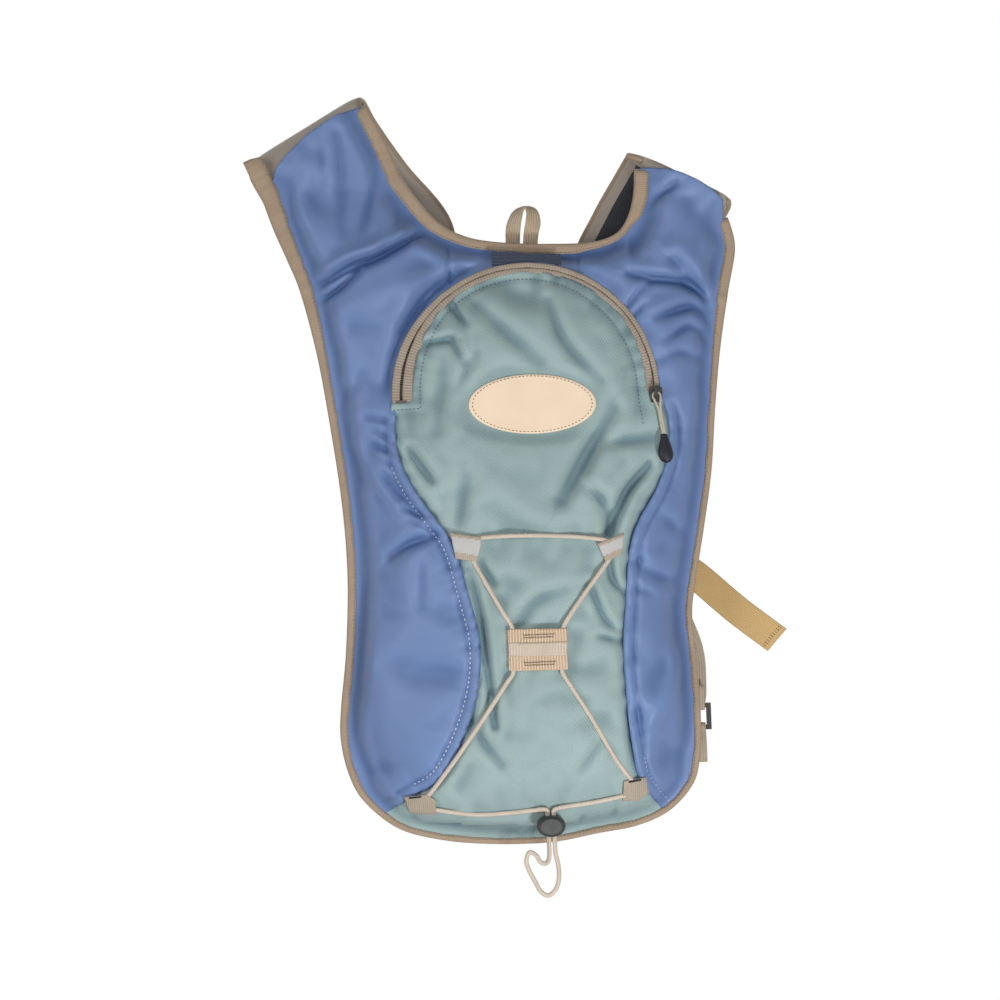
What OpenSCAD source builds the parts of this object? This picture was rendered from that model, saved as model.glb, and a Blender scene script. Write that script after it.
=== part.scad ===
// Hydration pack: a small padded backpack built around a two-litre water
// reservoir, hanging by its haul loop.
// +Z is up, the front faces -Y, and the origin is inside the top of the haul
// loop, where a hook holds it. All lengths are millimetres.

/* [Pack body] */
// Depth of the front at its fullest, from the edge seam
bulge = 50; // [44:1:54]
// How softly the sides rise from the edge binding
side_soft = 30; // [26:1:36]
// Thickness of the padded side fabric
shell_t = 3; // [2.5:0.5:3.5]
// Thickness of the pocket fabric
pocket_t = 1.6; // [1.2:0.2:2]
// Thickness of the foam in the back panel
foam_t = 6; // [5:0.5:8]
// Thickness of the air mesh over the foam
mesh_t = 1.5; // [1:0.5:2]
// Height of the two raised back pads
pad_h = 5; // [4:0.5:6]
// Width of the edge binding
bind_w = 6.5; // [5:0.5:7]
// Width of the neck binding
neck_w = 8; // [4:0.5:9]

/* [Zip] */
// Radius of the zip's middle line
zip_r = 84; // [82:0.5:85]
// Width of each zip tape
tape_w = 3.8; // [3.4:0.1:4]
// Width of the zip coil
coil_w = 3; // [2.5:0.5:4]
// Length of the slider
slider_l = 11; // [9:0.5:12]
// Length of the pull cord
pull_l = 30; // [26:1:32]

/* [Front bungee] */
// Diameter of the shock cord
cord_d = 3; // [2.5:0.1:3.2]
// Width of the cord lock
lock_w = 18.8; // [18:0.2:20]
// Height of the cord lock
lock_h = 13.8; // [13:0.2:15]
// Travel of the cord lock's plunger
press = 2.5; // [2:0.1:2.5]

/* [Harness] */
// Half the thickness of the padded straps
strap_h = 4; // [3.5:0.5:5]
// Width of the strap webbing
web_w = 20; // [19:1:20]
// Thickness of the webbing
web_t = 1.6; // [1.4:0.2:2]

/* [Reservoir] */
// Inner radius of the fill port
port_r = 28; // [26:1:29]
// Radius of the fill cap
cap_r = 38; // [37:0.5:39]
// Wall of the reservoir film
film = 0.9; // [0.8:0.1:1.2]
// Radius of the hose port's stem
stem_r = 3.2; // [3:0.1:3.4]

/* [Hidden] */
step = 12;
$fn = 48;

// Edge of the body, seen from the front as [x, z]
left_edge = [[-174, 14], [-168, -4], [-160, -24], [-152, -46], [-143, -86],
    [-137, -126], [-130, -187], [-128, -238], [-131, -288], [-136, -327],
    [-137, -348], [-133, -370]];
bottom_edge = [[-133, -370], [-124, -389], [-103, -408], [-78, -417],
    [-44, -422], [0, -423], [34, -418], [60, -414], [82, -405], [98, -389],
    [104, -372]];
right_edge = [[104, -372], [106, -345], [105, -305], [103, -276],
    [105, -257], [113, -217], [120, -177], [124, -137], [129, -97],
    [136, -58], [142, -28], [138, -7]];
neck_edge = [[76, 28], [75, 12], [70.5, -4], [62, -15], [46, -20],
    [20, -20.2], [-14, -18], [-40, -12.5], [-60, 0.4], [-79, 26.6],
    [-88, 48], [-102.4, 78.7]];
top_left = [[-122, 72], [-140, 60.5], [-152.5, 50], [-161.5, 41],
    [-166.5, 32], [-168, 22]];
top_right = [[135, 4.5], [122.5, 15.5], [106, 24], [90, 28]];
// Edges of the pocket below the zip
pocket_left = [[-116, -404], [-93, -388], [-71, -375], [-55, -350],
    [-43, -317], [-40, -284], [-46, -254], [-54, -222], [-64, -205],
    [-80, -181], [-90, -155], [-90, -126]];
pocket_right = [[87, -126], [91, -146], [89, -166], [80, -189], [68, -208],
    [61, -227], [57, -261], [54, -294], [55, -328], [58, -361], [63, -383],
    [84, -412]];
// Edge of the reservoir
bag_edge = [[-78, -380], [-88, -370], [-96, -250], [-90, -130], [-66, -78],
    [-40, -66], [36, -66], [60, -78], [84, -130], [76, -250], [70, -370],
    [60, -380], [-9, -384]];

// The zip lies on a plane that leans back toward the top
zip_c = [-2, -26, -121];
zip_lean = 6;
r_out = zip_r + tape_w;
r_in = zip_r - tape_w;

// Smooth curve through hand-placed points
function curve(a, b, c, d, t) = 0.5 * (2 * b + (c - a) * t
    + (2 * a - 5 * b + 4 * c - d) * t * t
    + (3 * b - a - 3 * c + d) * t * t * t);
function smooth(P, n) = [for (i = [0 : len(P) - 2])
    let (a = P[max(0, i - 1)], d = P[min(len(P) - 1, i + 2)])
    for (k = [0 : n - 1]) curve(a, P[i], P[i + 1], d, k / n),
    P[len(P) - 1]];
function along(P, i) = let (d = P[min(len(P) - 1, i + 1)] - P[max(0, i - 1)])
    d / norm(d);
function inset(P, w) = [for (i = [0 : len(P) - 1])
    let (d = along(P, i)) P[i] + w * [-d[1], d[0]]];
function flip(P) = [for (i = [len(P) - 1 : -1 : 0]) P[i]];
function cut_ends(P, n) = [for (i = [n : len(P) - 1 - n]) P[i]];
function arc(c, r, a0, a1, n) = [for (i = [0 : n])
    let (a = a0 + (a1 - a0) * i / n) [c[0] + r * cos(a), c[1] + r * sin(a)]];

function rest_of(P) = [for (i = [1 : len(P) - 1]) P[i]];
body_path = smooth(concat(left_edge, rest_of(bottom_edge),
    rest_of(right_edge)), 2);
neck_path = smooth(neck_edge, 3);
inner_body = concat(inset(body_path, bind_w), top_right,
    inset(neck_path, neck_w), top_left);
zip_flat = [zip_c[0], zip_c[2]];
pocket_low = concat(smooth(pocket_right, 2), [[84, -440], [-116, -440]],
    smooth(pocket_left, 2));
pocket_in = concat(pocket_low, [zip_flat + [-r_in, -4]],
    arc(zip_flat, r_in, 180, 0, 24), [zip_flat + [r_in, -4]]);
pocket_out = concat(pocket_low, [zip_flat + [-r_out, -4]],
    arc(zip_flat, r_out, 180, 0, 24), [zip_flat + [r_out, -4]]);

// Height of the front surface above the edge seam
function seg_gap(p, a, b) = let (ab = b - a,
    t = max(0, min(1, ((p - a) * ab) / (ab * ab)))) norm(p - a - t * ab);
function gap(p, P) = min([for (i = [0 : len(P) - 2])
    seg_gap(p, P[i], P[i + 1])]);
function rise(p, P, soft) = 1 - exp(-gap(p, P) / soft);
function fullness(z) = lookup(z, [[-430, 0.88], [-330, 1], [-250, 0.96],
    [-180, 0.84], [-120, 0.7], [-70, 0.6], [-30, 0.5], [20, 0.3],
    [90, 0.26]]);
function hump(p) = bulge * fullness(p[1]) * rise(p, left_edge, side_soft)
    * rise(p, right_edge, side_soft) * rise(p, neck_edge, 18)
    * rise(p, bottom_edge, 22);
function zip_plane(z) = -zip_c[1] - (z - zip_c[2]) * tan(zip_lean);
function near_zip(p) = let (r = norm(p - zip_flat),
    k = max(0, min(1, (p[1] + 150) / 20)))
    k * exp(-pow((r - zip_r) / 13, 2));
function front(p) = let (h = hump(p))
    h + near_zip(p) * (zip_plane(p[1]) - h);
function bag(p) = max(2, (front(p) - 11) * rise(p, bag_loop, 12));
bag_loop = concat(bag_edge, [bag_edge[0]]);

// Solid between two heights over a grid of square cells
function cells(nx, nz) = [for (j = [0 : nz - 2]) for (i = [0 : nx - 2])
    [j * nx + i, (j + 1) * nx + i, (j + 1) * nx + i + 1, j * nx + i + 1]];
module grid_solid(A, B, x, z) {
    nx = len(x);
    nz = len(z);
    n = nx * nz;
    P = concat([for (k = [0 : n - 1]) [x[k % nx], -B[k], z[floor(k / nx)]]],
        [for (k = [0 : n - 1]) [x[k % nx], -A[k], z[floor(k / nx)]]]);
    F = concat(
        [for (c = cells(nx, nz)) [c[0], c[1], c[2]]],
        [for (c = cells(nx, nz)) [c[0], c[2], c[3]]],
        [for (c = cells(nx, nz)) [c[0] + n, c[2] + n, c[1] + n]],
        [for (c = cells(nx, nz)) [c[0] + n, c[3] + n, c[2] + n]],
        [for (i = [0 : nx - 2]) [i, i + 1, i + 1 + n, i + n]],
        [for (i = [0 : nx - 2]) let (m = n - nx)
            [m + i + 1, m + i, m + i + n, m + i + 1 + n]],
        [for (j = [0 : nz - 2]) let (m = j * nx)
            [m + nx, m, m + n, m + nx + n]],
        [for (j = [0 : nz - 2]) let (m = j * nx + nx - 1)
            [m, m + nx, m + nx + n, m + n]]);
    polyhedron(P, F, 10);
}
function ticks(a, b, s) = [for (i = [floor(a / s) : ceil(b / s)]) i * s];
// Layer that follows the front surface from a to b above it
module layer(a, b, box) {
    x = ticks(box[0], box[1], step);
    z = ticks(box[2], box[3], step);
    H = [for (v = z) for (u = x) front([u, v])];
    grid_solid([for (h = H) h + a], [for (h = H) h + b], x, z);
}
// Prism along Y over a shape drawn in x and z
module zone(y0, y1) {
    translate([0, y1, 0]) rotate([90, 0, 0])
        linear_extrude(y1 - y0) children();
}
body_box = [-190, 150, -430, 80];

// Tube of n sides along points
function tube_dir(P, i) = let (d = P[min(len(P) - 1, i + 1)]
    - P[max(0, i - 1)]) d / norm(d);
function side_of(t) = let (u = abs(t[1]) < 0.9 ? [0, 1, 0] : [0, 0, 1],
    s = cross(u, t)) s / norm(s);
module tube(P, r, n) {
    m = len(P);
    V = [for (i = [0 : m - 1]) let (t = tube_dir(P, i), s = side_of(t),
        u = cross(t, s)) for (k = [0 : n - 1])
        P[i] + r * (cos(360 * k / n) * s + sin(360 * k / n) * u)];
    F = concat([[for (k = [0 : n - 1]) k]],
        [[for (k = [n - 1 : -1 : 0]) (m - 1) * n + k]],
        [for (i = [0 : m - 2]) for (k = [0 : n - 1])
            let (a = i * n + k, b = i * n + (k + 1) % n)
            [a, a + n, b + n, b]]);
    polyhedron(V, F, 10);
}
// Flat band along stations of [centre, half width], from one to another
module band(S, shape, from = 0, skip = 0) {
    n = len(shape);
    C = [for (s = S) s[0]];
    last = len(S) - 1 - skip;
    m = last - from + 1;
    V = [for (i = [from : last]) let (t = tube_dir(C, i), w = S[i][1],
        u = cross(t, w) / norm(cross(t, w)))
        for (q = shape) C[i] + q[0] * w + q[1] * u];
    F = concat([[for (k = [0 : n - 1]) k]],
        [[for (k = [n - 1 : -1 : 0]) (m - 1) * n + k]],
        [for (i = [0 : m - 2]) for (k = [0 : n - 1])
            let (a = i * n + k, b = i * n + (k + 1) % n)
            [a, a + n, b + n]],
        [for (i = [0 : m - 2]) for (k = [0 : n - 1])
            let (a = i * n + k, b = i * n + (k + 1) % n)
            [a, b + n, b]]);
    polyhedron(V, F, 10);
}

// ---- pack body ----
module side_shell() {
    color("#6b86b4") intersection() {
        layer(-shell_t, 0, body_box);
        zone(-70, 10) difference() {
            polygon(inner_body);
            polygon(pocket_out);
        }
    }
}
module pocket_panel() {
    color("#9fb9bb") intersection() {
        layer(-pocket_t, 0, [-120, 96, -416, -30]);
        zone(-70, 10) intersection() {
            polygon(inner_body);
            polygon(pocket_in);
        }
    }
}
module pocket_lining() {
    color("#8d9a9c") intersection() {
        layer(-shell_t - 1, -shell_t, [-128, 100, -418, -30]);
        zone(-70, 10) intersection() {
            polygon(inner_body);
            polygon(concat(inset(smooth(pocket_right, 2), 4),
                [[90, -440], [-122, -440]], inset(smooth(pocket_left, 2), 4),
                arc(zip_flat, r_out + 2, 176, 4, 24)));
        }
    }
}
module back_foam() {
    color("#3b4049") difference() {
        zone(0, foam_t) polygon(inner_body);
        port_hole(46);
    }
}
module back_mesh() {
    color("#24272f") difference() {
        zone(foam_t, foam_t + mesh_t) polygon(inner_body);
        port_hole(44);
    }
}
port_at = [0, 0, -106];
module port_hole(r) {
    translate(port_at - [0, 20, 0]) rotate([-90, 0, 0]) cylinder(h = 60, r = r);
}
module back_pad(x0, x1) {
    y = foam_t + mesh_t;
    color("#2b2f38") translate([0, y, 0]) {
        {
            rotate([90, 0, 0]) translate([0, 0, -pad_h]) linear_extrude(pad_h)
                polygon(concat(arc([x1 - 20, -110], 20, 0, 90, 5),
                    arc([x0 + 20, -110], 20, 90, 180, 5),
                    arc([x0 + 20, -300], 20, 180, 270, 5),
                    arc([x1 - 20, -300], 20, 270, 360, 5)));
        }
    }
}
module back_pad_left() { back_pad(-108, -50); }
module back_pad_right() { back_pad(44, 92); }
module edge_binding() {
    color("#a99c93") zone(-4.5, 3.5)
        polygon(concat(body_path, flip(inset(body_path, bind_w))));
}
module neck_binding() {
    color("#a99d8f") zone(-4.5, 3.5)
        polygon(concat(neck_path, flip(inset(neck_path, neck_w))));
}
// Webbing loop stitched to the mesh behind the neck, leaning to the front so
// that its top is over the origin
loop_w = 8.5;
loop_gap = 2.5;
loop_t = 2.2;
loop_rise = 25;
module haul_loop() {
    y = foam_t + mesh_t + loop_t / 2;
    r = loop_gap + loop_w / 2;
    lean = atan(y / loop_rise);
    top = norm([loop_rise, y]) - loop_gap;
    // One band up the left leg, over the top and down the right leg
    color("#bcad98") {
        band(concat([[[-r, y, -50], [-loop_w / 2, 0, 0]],
            [[-r, y, -loop_rise], [-loop_w / 2, 0, 0]]],
            [for (i = [0 : 12]) let (a = 180 - 15 * i, s = sin(a),
                c = cos(a), q = top + r * s, w = loop_w / 2)
                [[r * c, y - q * sin(lean), q * cos(lean) - loop_rise],
                [w * c, -w * s * sin(lean), w * s * cos(lean)]]],
            [[[r, y, -loop_rise], [loop_w / 2, 0, 0]],
            [[r, y, -50], [loop_w / 2, 0, 0]]]),
            [[1, -loop_t / 2], [1, loop_t / 2], [-1, loop_t / 2],
            [-1, -loop_t / 2]]);
        translate([0.6 - loop_gap - loop_w, foam_t + mesh_t + 0.3, -49.4])
            cube([2 * (loop_gap + loop_w - 0.6), loop_t + 0.2, 11]);
    }
}
module closure_patch() {
    color("#7f8489") intersection() {
        layer(0, 1, [-24, 24, -40, -20]);
        zone(-40, 0) difference() {
            polygon([[-22, -20], [24, -20], [24, -40], [-22, -40]]);
            polygon(concat([[-60, 0], [60, 0]],
                inset(neck_path, neck_w)));
            polygon(arc(zip_flat, r_out + 0.6, 180, 0, 48));
        }
    }
}
label_at = [0.8, -128.6];
label_w = 84.6;
label_h = 39.6;
label_turn = -1.5;
module label_patch() {
    color("#d6c9b1") intersection() {
        layer(0, 1, [label_at[0] - label_w / 2 - 1,
            label_at[0] + label_w / 2 + 1,
            label_at[1] - label_h / 2 - 2, label_at[1] + label_h / 2 + 2]);
        zone(-60, 0) translate(label_at) rotate(label_turn)
            scale([label_w / 2, label_h / 2]) circle(1);
    }
}

// ---- zip ----
// Slab that lies on the zip's plane
module zip_slab(a, b) {
    on_zip() translate([0, 0, a]) linear_extrude(b - a)
        square(280, center = true);
}
module zip_band(r0, r1, a, b) {
    intersection() {
        zip_slab(a, b);
        zone(-60, 10) difference() {
            polygon(concat([zip_flat + [-r1, -4]],
                arc(zip_flat, r1, 180, 0, 24), [zip_flat + [r1, -4]]));
            polygon(concat([zip_flat + [-r0, -4.1]],
                arc(zip_flat, r0, 180, 0, 24), [zip_flat + [r0, -4.1]]));
        }
    }
}
module zip_tape_outer() { color("#a1937f") zip_band(zip_r, r_out, -1, 0.4); }
module zip_tape_inner() { color("#98897a") zip_band(r_in, zip_r, -1, 0.4); }
module zip_coil() {
    color("#5a544d")
        zip_band(zip_r - coil_w / 2, zip_r + coil_w / 2, -1.7, -1);
}
// Sewn bar across the tape at the end where the zip opens to
module zip_stop() {
    color("#6d6258") intersection() {
        zip_slab(0.4, 1);
        zone(-60, 10) polygon([zip_flat + [-r_out, -3.5],
            zip_flat + [-r_in, -3.5], zip_flat + [-r_in, -1.5],
            zip_flat + [-r_out, -1.5]]);
    }
}
module on_zip() {
    translate(zip_c) rotate([90 - zip_lean, 0, 0]) children();
}
slider_a = -3;
module at_slider() {
    on_zip() rotate(slider_a) translate([zip_r + 1, 0, 0]) children();
}
module zip_slider() {
    color("#3a3836") at_slider() {
        difference() {
            translate([0, 0, 1.5]) linear_extrude(2.2) polygon([
                [-4, 4.5], [-4.6, 1], [-3, -slider_l / 2],
                [3, -slider_l / 2], [4.6, 1], [4, 4.5], [1.5, slider_l / 2],
                [-1.5, slider_l / 2]]);
            translate([0, 0, 1]) linear_extrude(1)
                square([2, 20], center = true);
        }
        for (v = [-3.4, 1.6]) translate([-1.2, v, 3.7]) cube([2.4, 1.8, 3.4]);
        translate([-1.2, -3.4, 7.1]) cube([2.4, 6.8, 1.3]);
    }
}
// The pull hangs from the slider's bridge
pull_pin = [0, 0, 6];
module at_pull() { at_slider() translate(pull_pin) children(); }
pull_route = [[0.95, -11, 0], [1.7, -6, 0], [2.5, -2.6, 0],
    [2.1, -0.5, 0], [1.1, 0, 0], [-1.1, 0, 0], [-2.1, -0.5, 0],
    [-2.5, -2.6, 0], [-1.7, -6, 0], [-0.95, -11, 0]];
module pull_tube(r) {
    tube(concat([[1.05, -pull_l, 0]], smooth(pull_route, 2),
        [[-1.05, -pull_l, 0]]), r, 8);
}
module zip_pull_cord() { color("#cfc6b5") at_pull() pull_tube(0.8); }
// Moulded end with a socket for the cord's two ends
module zip_pull_tip() {
    color("#26282d") at_pull() difference() {
        translate([0, -pull_l, 0]) hull() {
            translate([0, -1, 0]) scale([1, 1, 0.8]) sphere(2.6, $fn = 12);
            translate([0, -11, 0]) scale([1, 1, 0.7])
                sphere(4, $fn = 12);
            translate([0, -15, 0]) scale([1, 0.8, 0.65])
                sphere(3.4, $fn = 12);
        }
        pull_tube(0.84);
    }
}

// ---- front bungee ----
cord_y = cord_d / 2 + 1.1;
// Route of the laced cord as [x, z, lift above the surface]
lace = [[3.8, -399, 0], [5.4, -396.8, 2.6], [11, -395.8, 1], [30, -394, 0],
    [49, -391, 0], [58, -388.4, 0], [60.4, -385, 0], [57, -381, 0],
    [46, -365, 0.4], [30, -335, 0.8], [17, -313, 0.6], [12.6, -304, 0.3],
    [13, -290, 0.3], [14.8, -277, 0.3], [20, -268, 0.5], [32, -252, 0.6],
    [44, -237, 0.3], [50.4, -228, 0], [50.6, -223.2, 0], [45, -220.4, 0.2],
    [28, -217.6, 0.8], [6, -215.8, 1], [-16, -215, 1], [-34, -215.4, 0.3],
    [-43, -216.4, 0], [-46.4, -220, 0], [-43, -229, 0.2],
    [-36, -243, 0.5], [-26, -262, 0.6], [-18.4, -276, 0.3],
    [-17.6, -290, 0.3], [-19, -304, 0.3], [-25, -313, 0.6],
    [-42, -337, 0.8], [-62, -364, 0.4], [-77, -383, 0], [-83, -389.4, 0],
    [-80.6, -393, 0], [-70, -395.6, 0], [-48, -399, 0], [-26, -398.6, 0],
    [-10, -397.2, 1], [-2.4, -396.6, 2.6], [-0.2, -399, 0]];
function cell_height(u, v) = let (i = floor(u / step), j = floor(v / step),
    fx = u / step - i, fz = v / step - j,
    a = front([i * step, j * step]),
    b = front([(i + 1) * step, j * step]),
    c = front([i * step, (j + 1) * step]),
    d = front([(i + 1) * step, (j + 1) * step]))
    fz > fx ? a + (c - a) * fz + (d - c) * fx
        : a + (b - a) * fx + (d - b) * fz;
function on_front(p, h) = [p[0], -cell_height(p[0], p[1]) - h - p[2], p[1]];
lock_y = -cell_height(0, -399) - cord_y - 3.4;
// Both ends stand upright in the lock's cord hole, where the tail begins
lace_points = concat([for (z = [-399, -398]) [lace[0][0], lock_y, z]],
    [for (i = [1 : len(lace) - 2]) on_front(lace[i], cord_y)],
    [for (z = [-398, -399]) [lace[len(lace) - 1][0], lock_y, z]]);
module shock_cord() {
    color("#c9c5ba") tube(lace_points, cord_d / 2, 8);
}
module lace_bore() { tube(lace_points, cord_d / 2 + 0.15, 8); }
// Loop of cord through and below the lock: x, y from the lace, z
tail_route = [[3.8, 0, -399], [3.8, 0, -408], [3.8, 0, -417],
    [3.9, 0, -426], [5.4, 0, -434], [5.6, 0, -442], [3.4, 0, -449.4],
    [-1.6, 0, -453.8], [-6.8, -0.4, -451], [-10.4, -1, -444],
    [-13.8, -1.6, -437], [-15.6, -2.2, -430], [-13.2, -3, -424.4],
    [-9, -3.4, -426.6], [-6, -3, -431.4], [-2, -1.4, -432],
    [-0.2, 0, -427], [-0.2, 0, -418], [-0.2, 0, -408], [-0.2, 0, -399]];
tail_points = [for (p = tail_route) [p[0], lock_y + p[1], p[2]]];
module shock_cord_tail() {
    color("#c9c5ba") tube(smooth(tail_points, 2), cord_d / 2, 8);
}
module tab(pts, h) {
    difference() {
        intersection() {
            layer(0, h, [min([for (p = pts) p[0]]), max([for (p = pts) p[0]]),
                min([for (p = pts) p[1]]), max([for (p = pts) p[1]])]);
            zone(-90, 10) polygon(pts);
        }
        lace_bore();
    }
}
tab_h = cord_y + cord_d / 2 + 0.9;
module cord_loop_upper_left() {
    color("#b9b3a6") tab([[-56, -210.6], [-37.4, -213], [-37, -219],
        [-41, -231], [-49.6, -229]], tab_h);
}
module cord_loop_upper_right() {
    color("#b9b3a6") tab([[41.4, -217.4], [58.6, -214.4], [56.8, -230],
        [46, -234.6], [42, -227]], tab_h);
}
module cord_anchor_lower_left() {
    color("#b0a392") tab([[-95, -386], [-80, -384], [-74, -388],
        [-74, -398.6], [-92, -397]], tab_h);
}
module cord_anchor_lower_right() {
    color("#b0a392") tab([[51, -380.6], [66, -379], [68, -390],
        [60, -395], [50, -394]], tab_h);
}
keeper = [[-21.6, -276], [17.4, -277], [17, -304], [-21.8, -303.4]];
module cord_keeper() { color("#c8ad90") tab(keeper, tab_h + 0.6); }
module keeper_reflector() {
    color("#cbbdae") intersection() {
        layer(tab_h + 0.6, tab_h + 1, [-22, 18, -300, -280]);
        zone(-90, 10) polygon([[-21.6, -285], [17.2, -285.6],
            [17.2, -294.6], [-21.6, -294]]);
    }
}
// Cord lock: an oval barrel with its closed end to the front and a sprung
// plunger in its open back, both pierced side to side for two cords
lock_c = [1.8, 0, -407.6];
module at_lock() {
    translate([0, lock_y, 0] + lock_c) rotate([90, 0, 0]) children();
}
module cord_slot(y0, y1) {
    w = 2 * cord_d + 2.2;
    translate([0, lock_y, 0] + lock_c) translate([-w / 2, y0, -12])
        cube([w, y1 - y0, 24]);
}
module oval(w, h) { scale([w / h, 1]) circle(h / 2, $fn = 40); }
slot_h = cord_d / 2 + 0.6;
module cord_lock_barrel() {
    color("#2c2c2e") difference() {
        at_lock() {
            translate([0, 0, -4.8]) linear_extrude(11.2)
                oval(lock_w, lock_h);
            translate([0, 0, 6.4])
                linear_extrude(2.4, scale = 0.74) oval(lock_w, lock_h);
        }
        at_lock() translate([0, 0, -5]) linear_extrude(12.4)
            oval(lock_w - 4.4, lock_h - 4.2);
        cord_slot(-slot_h, slot_h);
    }
}
module cord_lock_plunger() {
    color("#5d5c58") difference() {
        at_lock() translate([0, 0, -8.2]) linear_extrude(11.1)
            oval(lock_w - 5, lock_h - 4.8);
        cord_slot(-slot_h, slot_h + press);
    }
}
module cord_lock_spring() {
    color("#a5a7aa") at_lock() {
        P = [for (i = [0 : 22]) let (a = 45 * i)
            [2.9 * cos(a), 2.9 * sin(a), 3.2 + 3.9 * i / 22]];
        tube(P, 0.3, 6);
    }
}

// ---- harness ----
// Stations of the padded straps: centre, half width
strap_l = [[[-140, 2, 46], [33, 0, 30]], [[-145, 7, 58], [37, 0, 24]],
    [[-143, 18, 63], [38, 0, 20]], [[-138, 31, 53], [40, 0, 17]],
    [[-113, 38, 27], [42, 0, 14]], [[-91, 41, -8], [41, 0, 9]],
    [[-86, 42, -52], [38, 0, 4]], [[-80, 42, -100], [35, 0, 0]],
    [[-79, 40, -150], [31, 0, 0]], [[-81, 37, -192], [24, 0, 0]]];
strap_r = [[[110, 4, 19], [28, 0, -15]], [[107, 10, 21], [33, 0, -17]],
    [[103, 20, 19], [37, 0, -18]], [[98, 32, 9], [38, 0, -16]],
    [[86, 38, -11], [43, 0, -13]], [[78, 41, -37], [43, 0, -8]],
    [[77, 42, -72], [40, 0, -3]], [[76, 42, -112], [34, 0, 0]],
    [[75, 40, -152], [30, 0, 0]], [[76, 37, -192], [24, 0, 0]]];
function stations(S, n) = let (C = smooth([for (s = S) s[0]], n),
    W = smooth([for (s = S) s[1]], n)) [for (i = [0 : len(C) - 1])
    [C[i], W[i]]];
module strap_pad(S) {
    h = strap_h;
    band(stations(S, 3), [[1, -0.3 * h], [1, 0.3 * h], [0.87, h],
        [-0.87, h], [-1, 0.3 * h], [-1, -0.3 * h], [-0.87, -h],
        [0.87, -h]]);
}
// Mesh on the face that rests against the wearer
module strap_mesh(S) {
    h = strap_h;
    band(stations(S, 3), [[0.84, h + 0.4], [0.84, h + 1.4],
        [-0.84, h + 1.4], [-0.84, h + 0.4]], 8, 1);
}
// A strap butts against the body's top seam and stands clear of the bindings
module strap_at_seam(S) {
    color("#a39a92") difference() {
        strap_pad(S);
        zone(-60, foam_t + mesh_t + 0.1) polygon(inner_body);
        zone(-4.6, 3.6) polygon(concat(neck_path,
            flip(inset(neck_path, neck_w + 0.1))));
        zone(-4.6, 3.6) polygon(concat(inset(body_path, -0.1),
            flip(inset(body_path, bind_w + 0.1))));
    }
}
module shoulder_strap_left() { strap_at_seam(strap_l); }
module shoulder_strap_right() { strap_at_seam(strap_r); }
module strap_lining_left() { color("#24272f") strap_mesh(strap_l); }
module strap_lining_right() { color("#24272f") strap_mesh(strap_r); }
// Webbing folded round the ladder lock's upper bar
lock_l = [-81, 37, -203];
lock_rt = [76, 37, -203];
module strap_tab(c) {
    r = 2.3 + web_t / 2;
    color("#b3a690") band(concat(
        [[c + [0, -r, 11.15], [hw, 0, 0]], [c + [0, -r, 5], [hw, 0, 0]]],
        [for (i = [0 : 8]) let (a = 180 + 22.5 * i)
            [c + [0, r * cos(a), r * sin(a)], [hw, 0, 0]]],
        [[c + [0, r, 5], [hw, 0, 0]], [c + [0, r, 10.7], [hw, 0, 0]]]),
        [[1, -web_t / 2], [1, web_t / 2], [-1, web_t / 2],
        [-1, -web_t / 2]]);
}
module strap_tab_left() { strap_tab(lock_l); }
module strap_tab_right() { strap_tab(lock_rt); }
// Ladder lock: three bars in a frame, the last one a lifting lip
module ladder_lock(c) {
    color("#2a2a2c") translate(c) {
        for (s = [-1, 1]) translate([s * 12.6 - 1.8, -2.2, -21])
            cube([3.6, 4.4, 23]);
        translate([-12.6, 0, 0]) rotate([0, 90, 0])
            cylinder(h = 25.2, r = 1.9);
        translate([-12.6, 0, -9.6]) rotate([0, 90, 0])
            cylinder(h = 25.2, r = 1.7);
        translate([-12.6, -2.2, -21]) cube([25.2, 4.4, 4]);
        translate([-9, 2.2, -23]) cube([18, 1.6, 6]);
    }
}
module ladder_lock_left() { ladder_lock(lock_l); }
module ladder_lock_right() { ladder_lock(lock_rt); }
// Webbing wrapped over the middle bar, its free end hanging down
hw = web_w / 2;
wrap_r = 1.8 + web_t / 2;
function half_turn(c, a0, a1, w) = [for (i = [0 : 8])
    let (a = a0 + (a1 - a0) * i / 8)
    [[c[0], c[1] + wrap_r * cos(a), c[2] + wrap_r * sin(a)], [w, 0, 0]]];
module web_band(S) {
    band(S, [[1, -web_t / 2], [1, web_t / 2], [-1, web_t / 2],
        [-1, -web_t / 2]]);
}
tail_l = [[[0, 3, -14], [9.8, 0, 0]], [[0, 5.4, -19], [9.8, 0, 0]],
    [[0, 6, -24], [9.8, 0, 0]], [[1, 4, -44], [hw, 0, 0]],
    [[3, 2, -70], [hw, 0, 0.4]], [[4, 0, -98], [hw, 0, 0.4]]];
tail_r = [[[0, 3, -14], [9.8, 0, 0]], [[0.6, 5.4, -19], [9.8, 0, 1]],
    [[4, 6, -24], [9, 0, 5]], [[14, 4, -31], [7.4, 0, 7]],
    [[34, 1, -46], [7, 0, 7.2]], [[60, -1, -70], [6.8, 0, 7.4]],
    [[87, -3, -92], [6.8, 0, 7.4]]];
function moved(S, c) = [for (s = S) [s[0] + c, s[1]]];
bar = [0, 0, -9.6];
module webbing_tail(c, S) {
    color("#d0b18d")
        web_band(concat(half_turn(c + bar, 180, 0, 9.8),
            moved(stations(S, 3), c)));
}
module webbing_tail_left() { webbing_tail(lock_l, tail_l); }
module webbing_tail_right() { webbing_tail(lock_rt, tail_r); }
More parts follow.
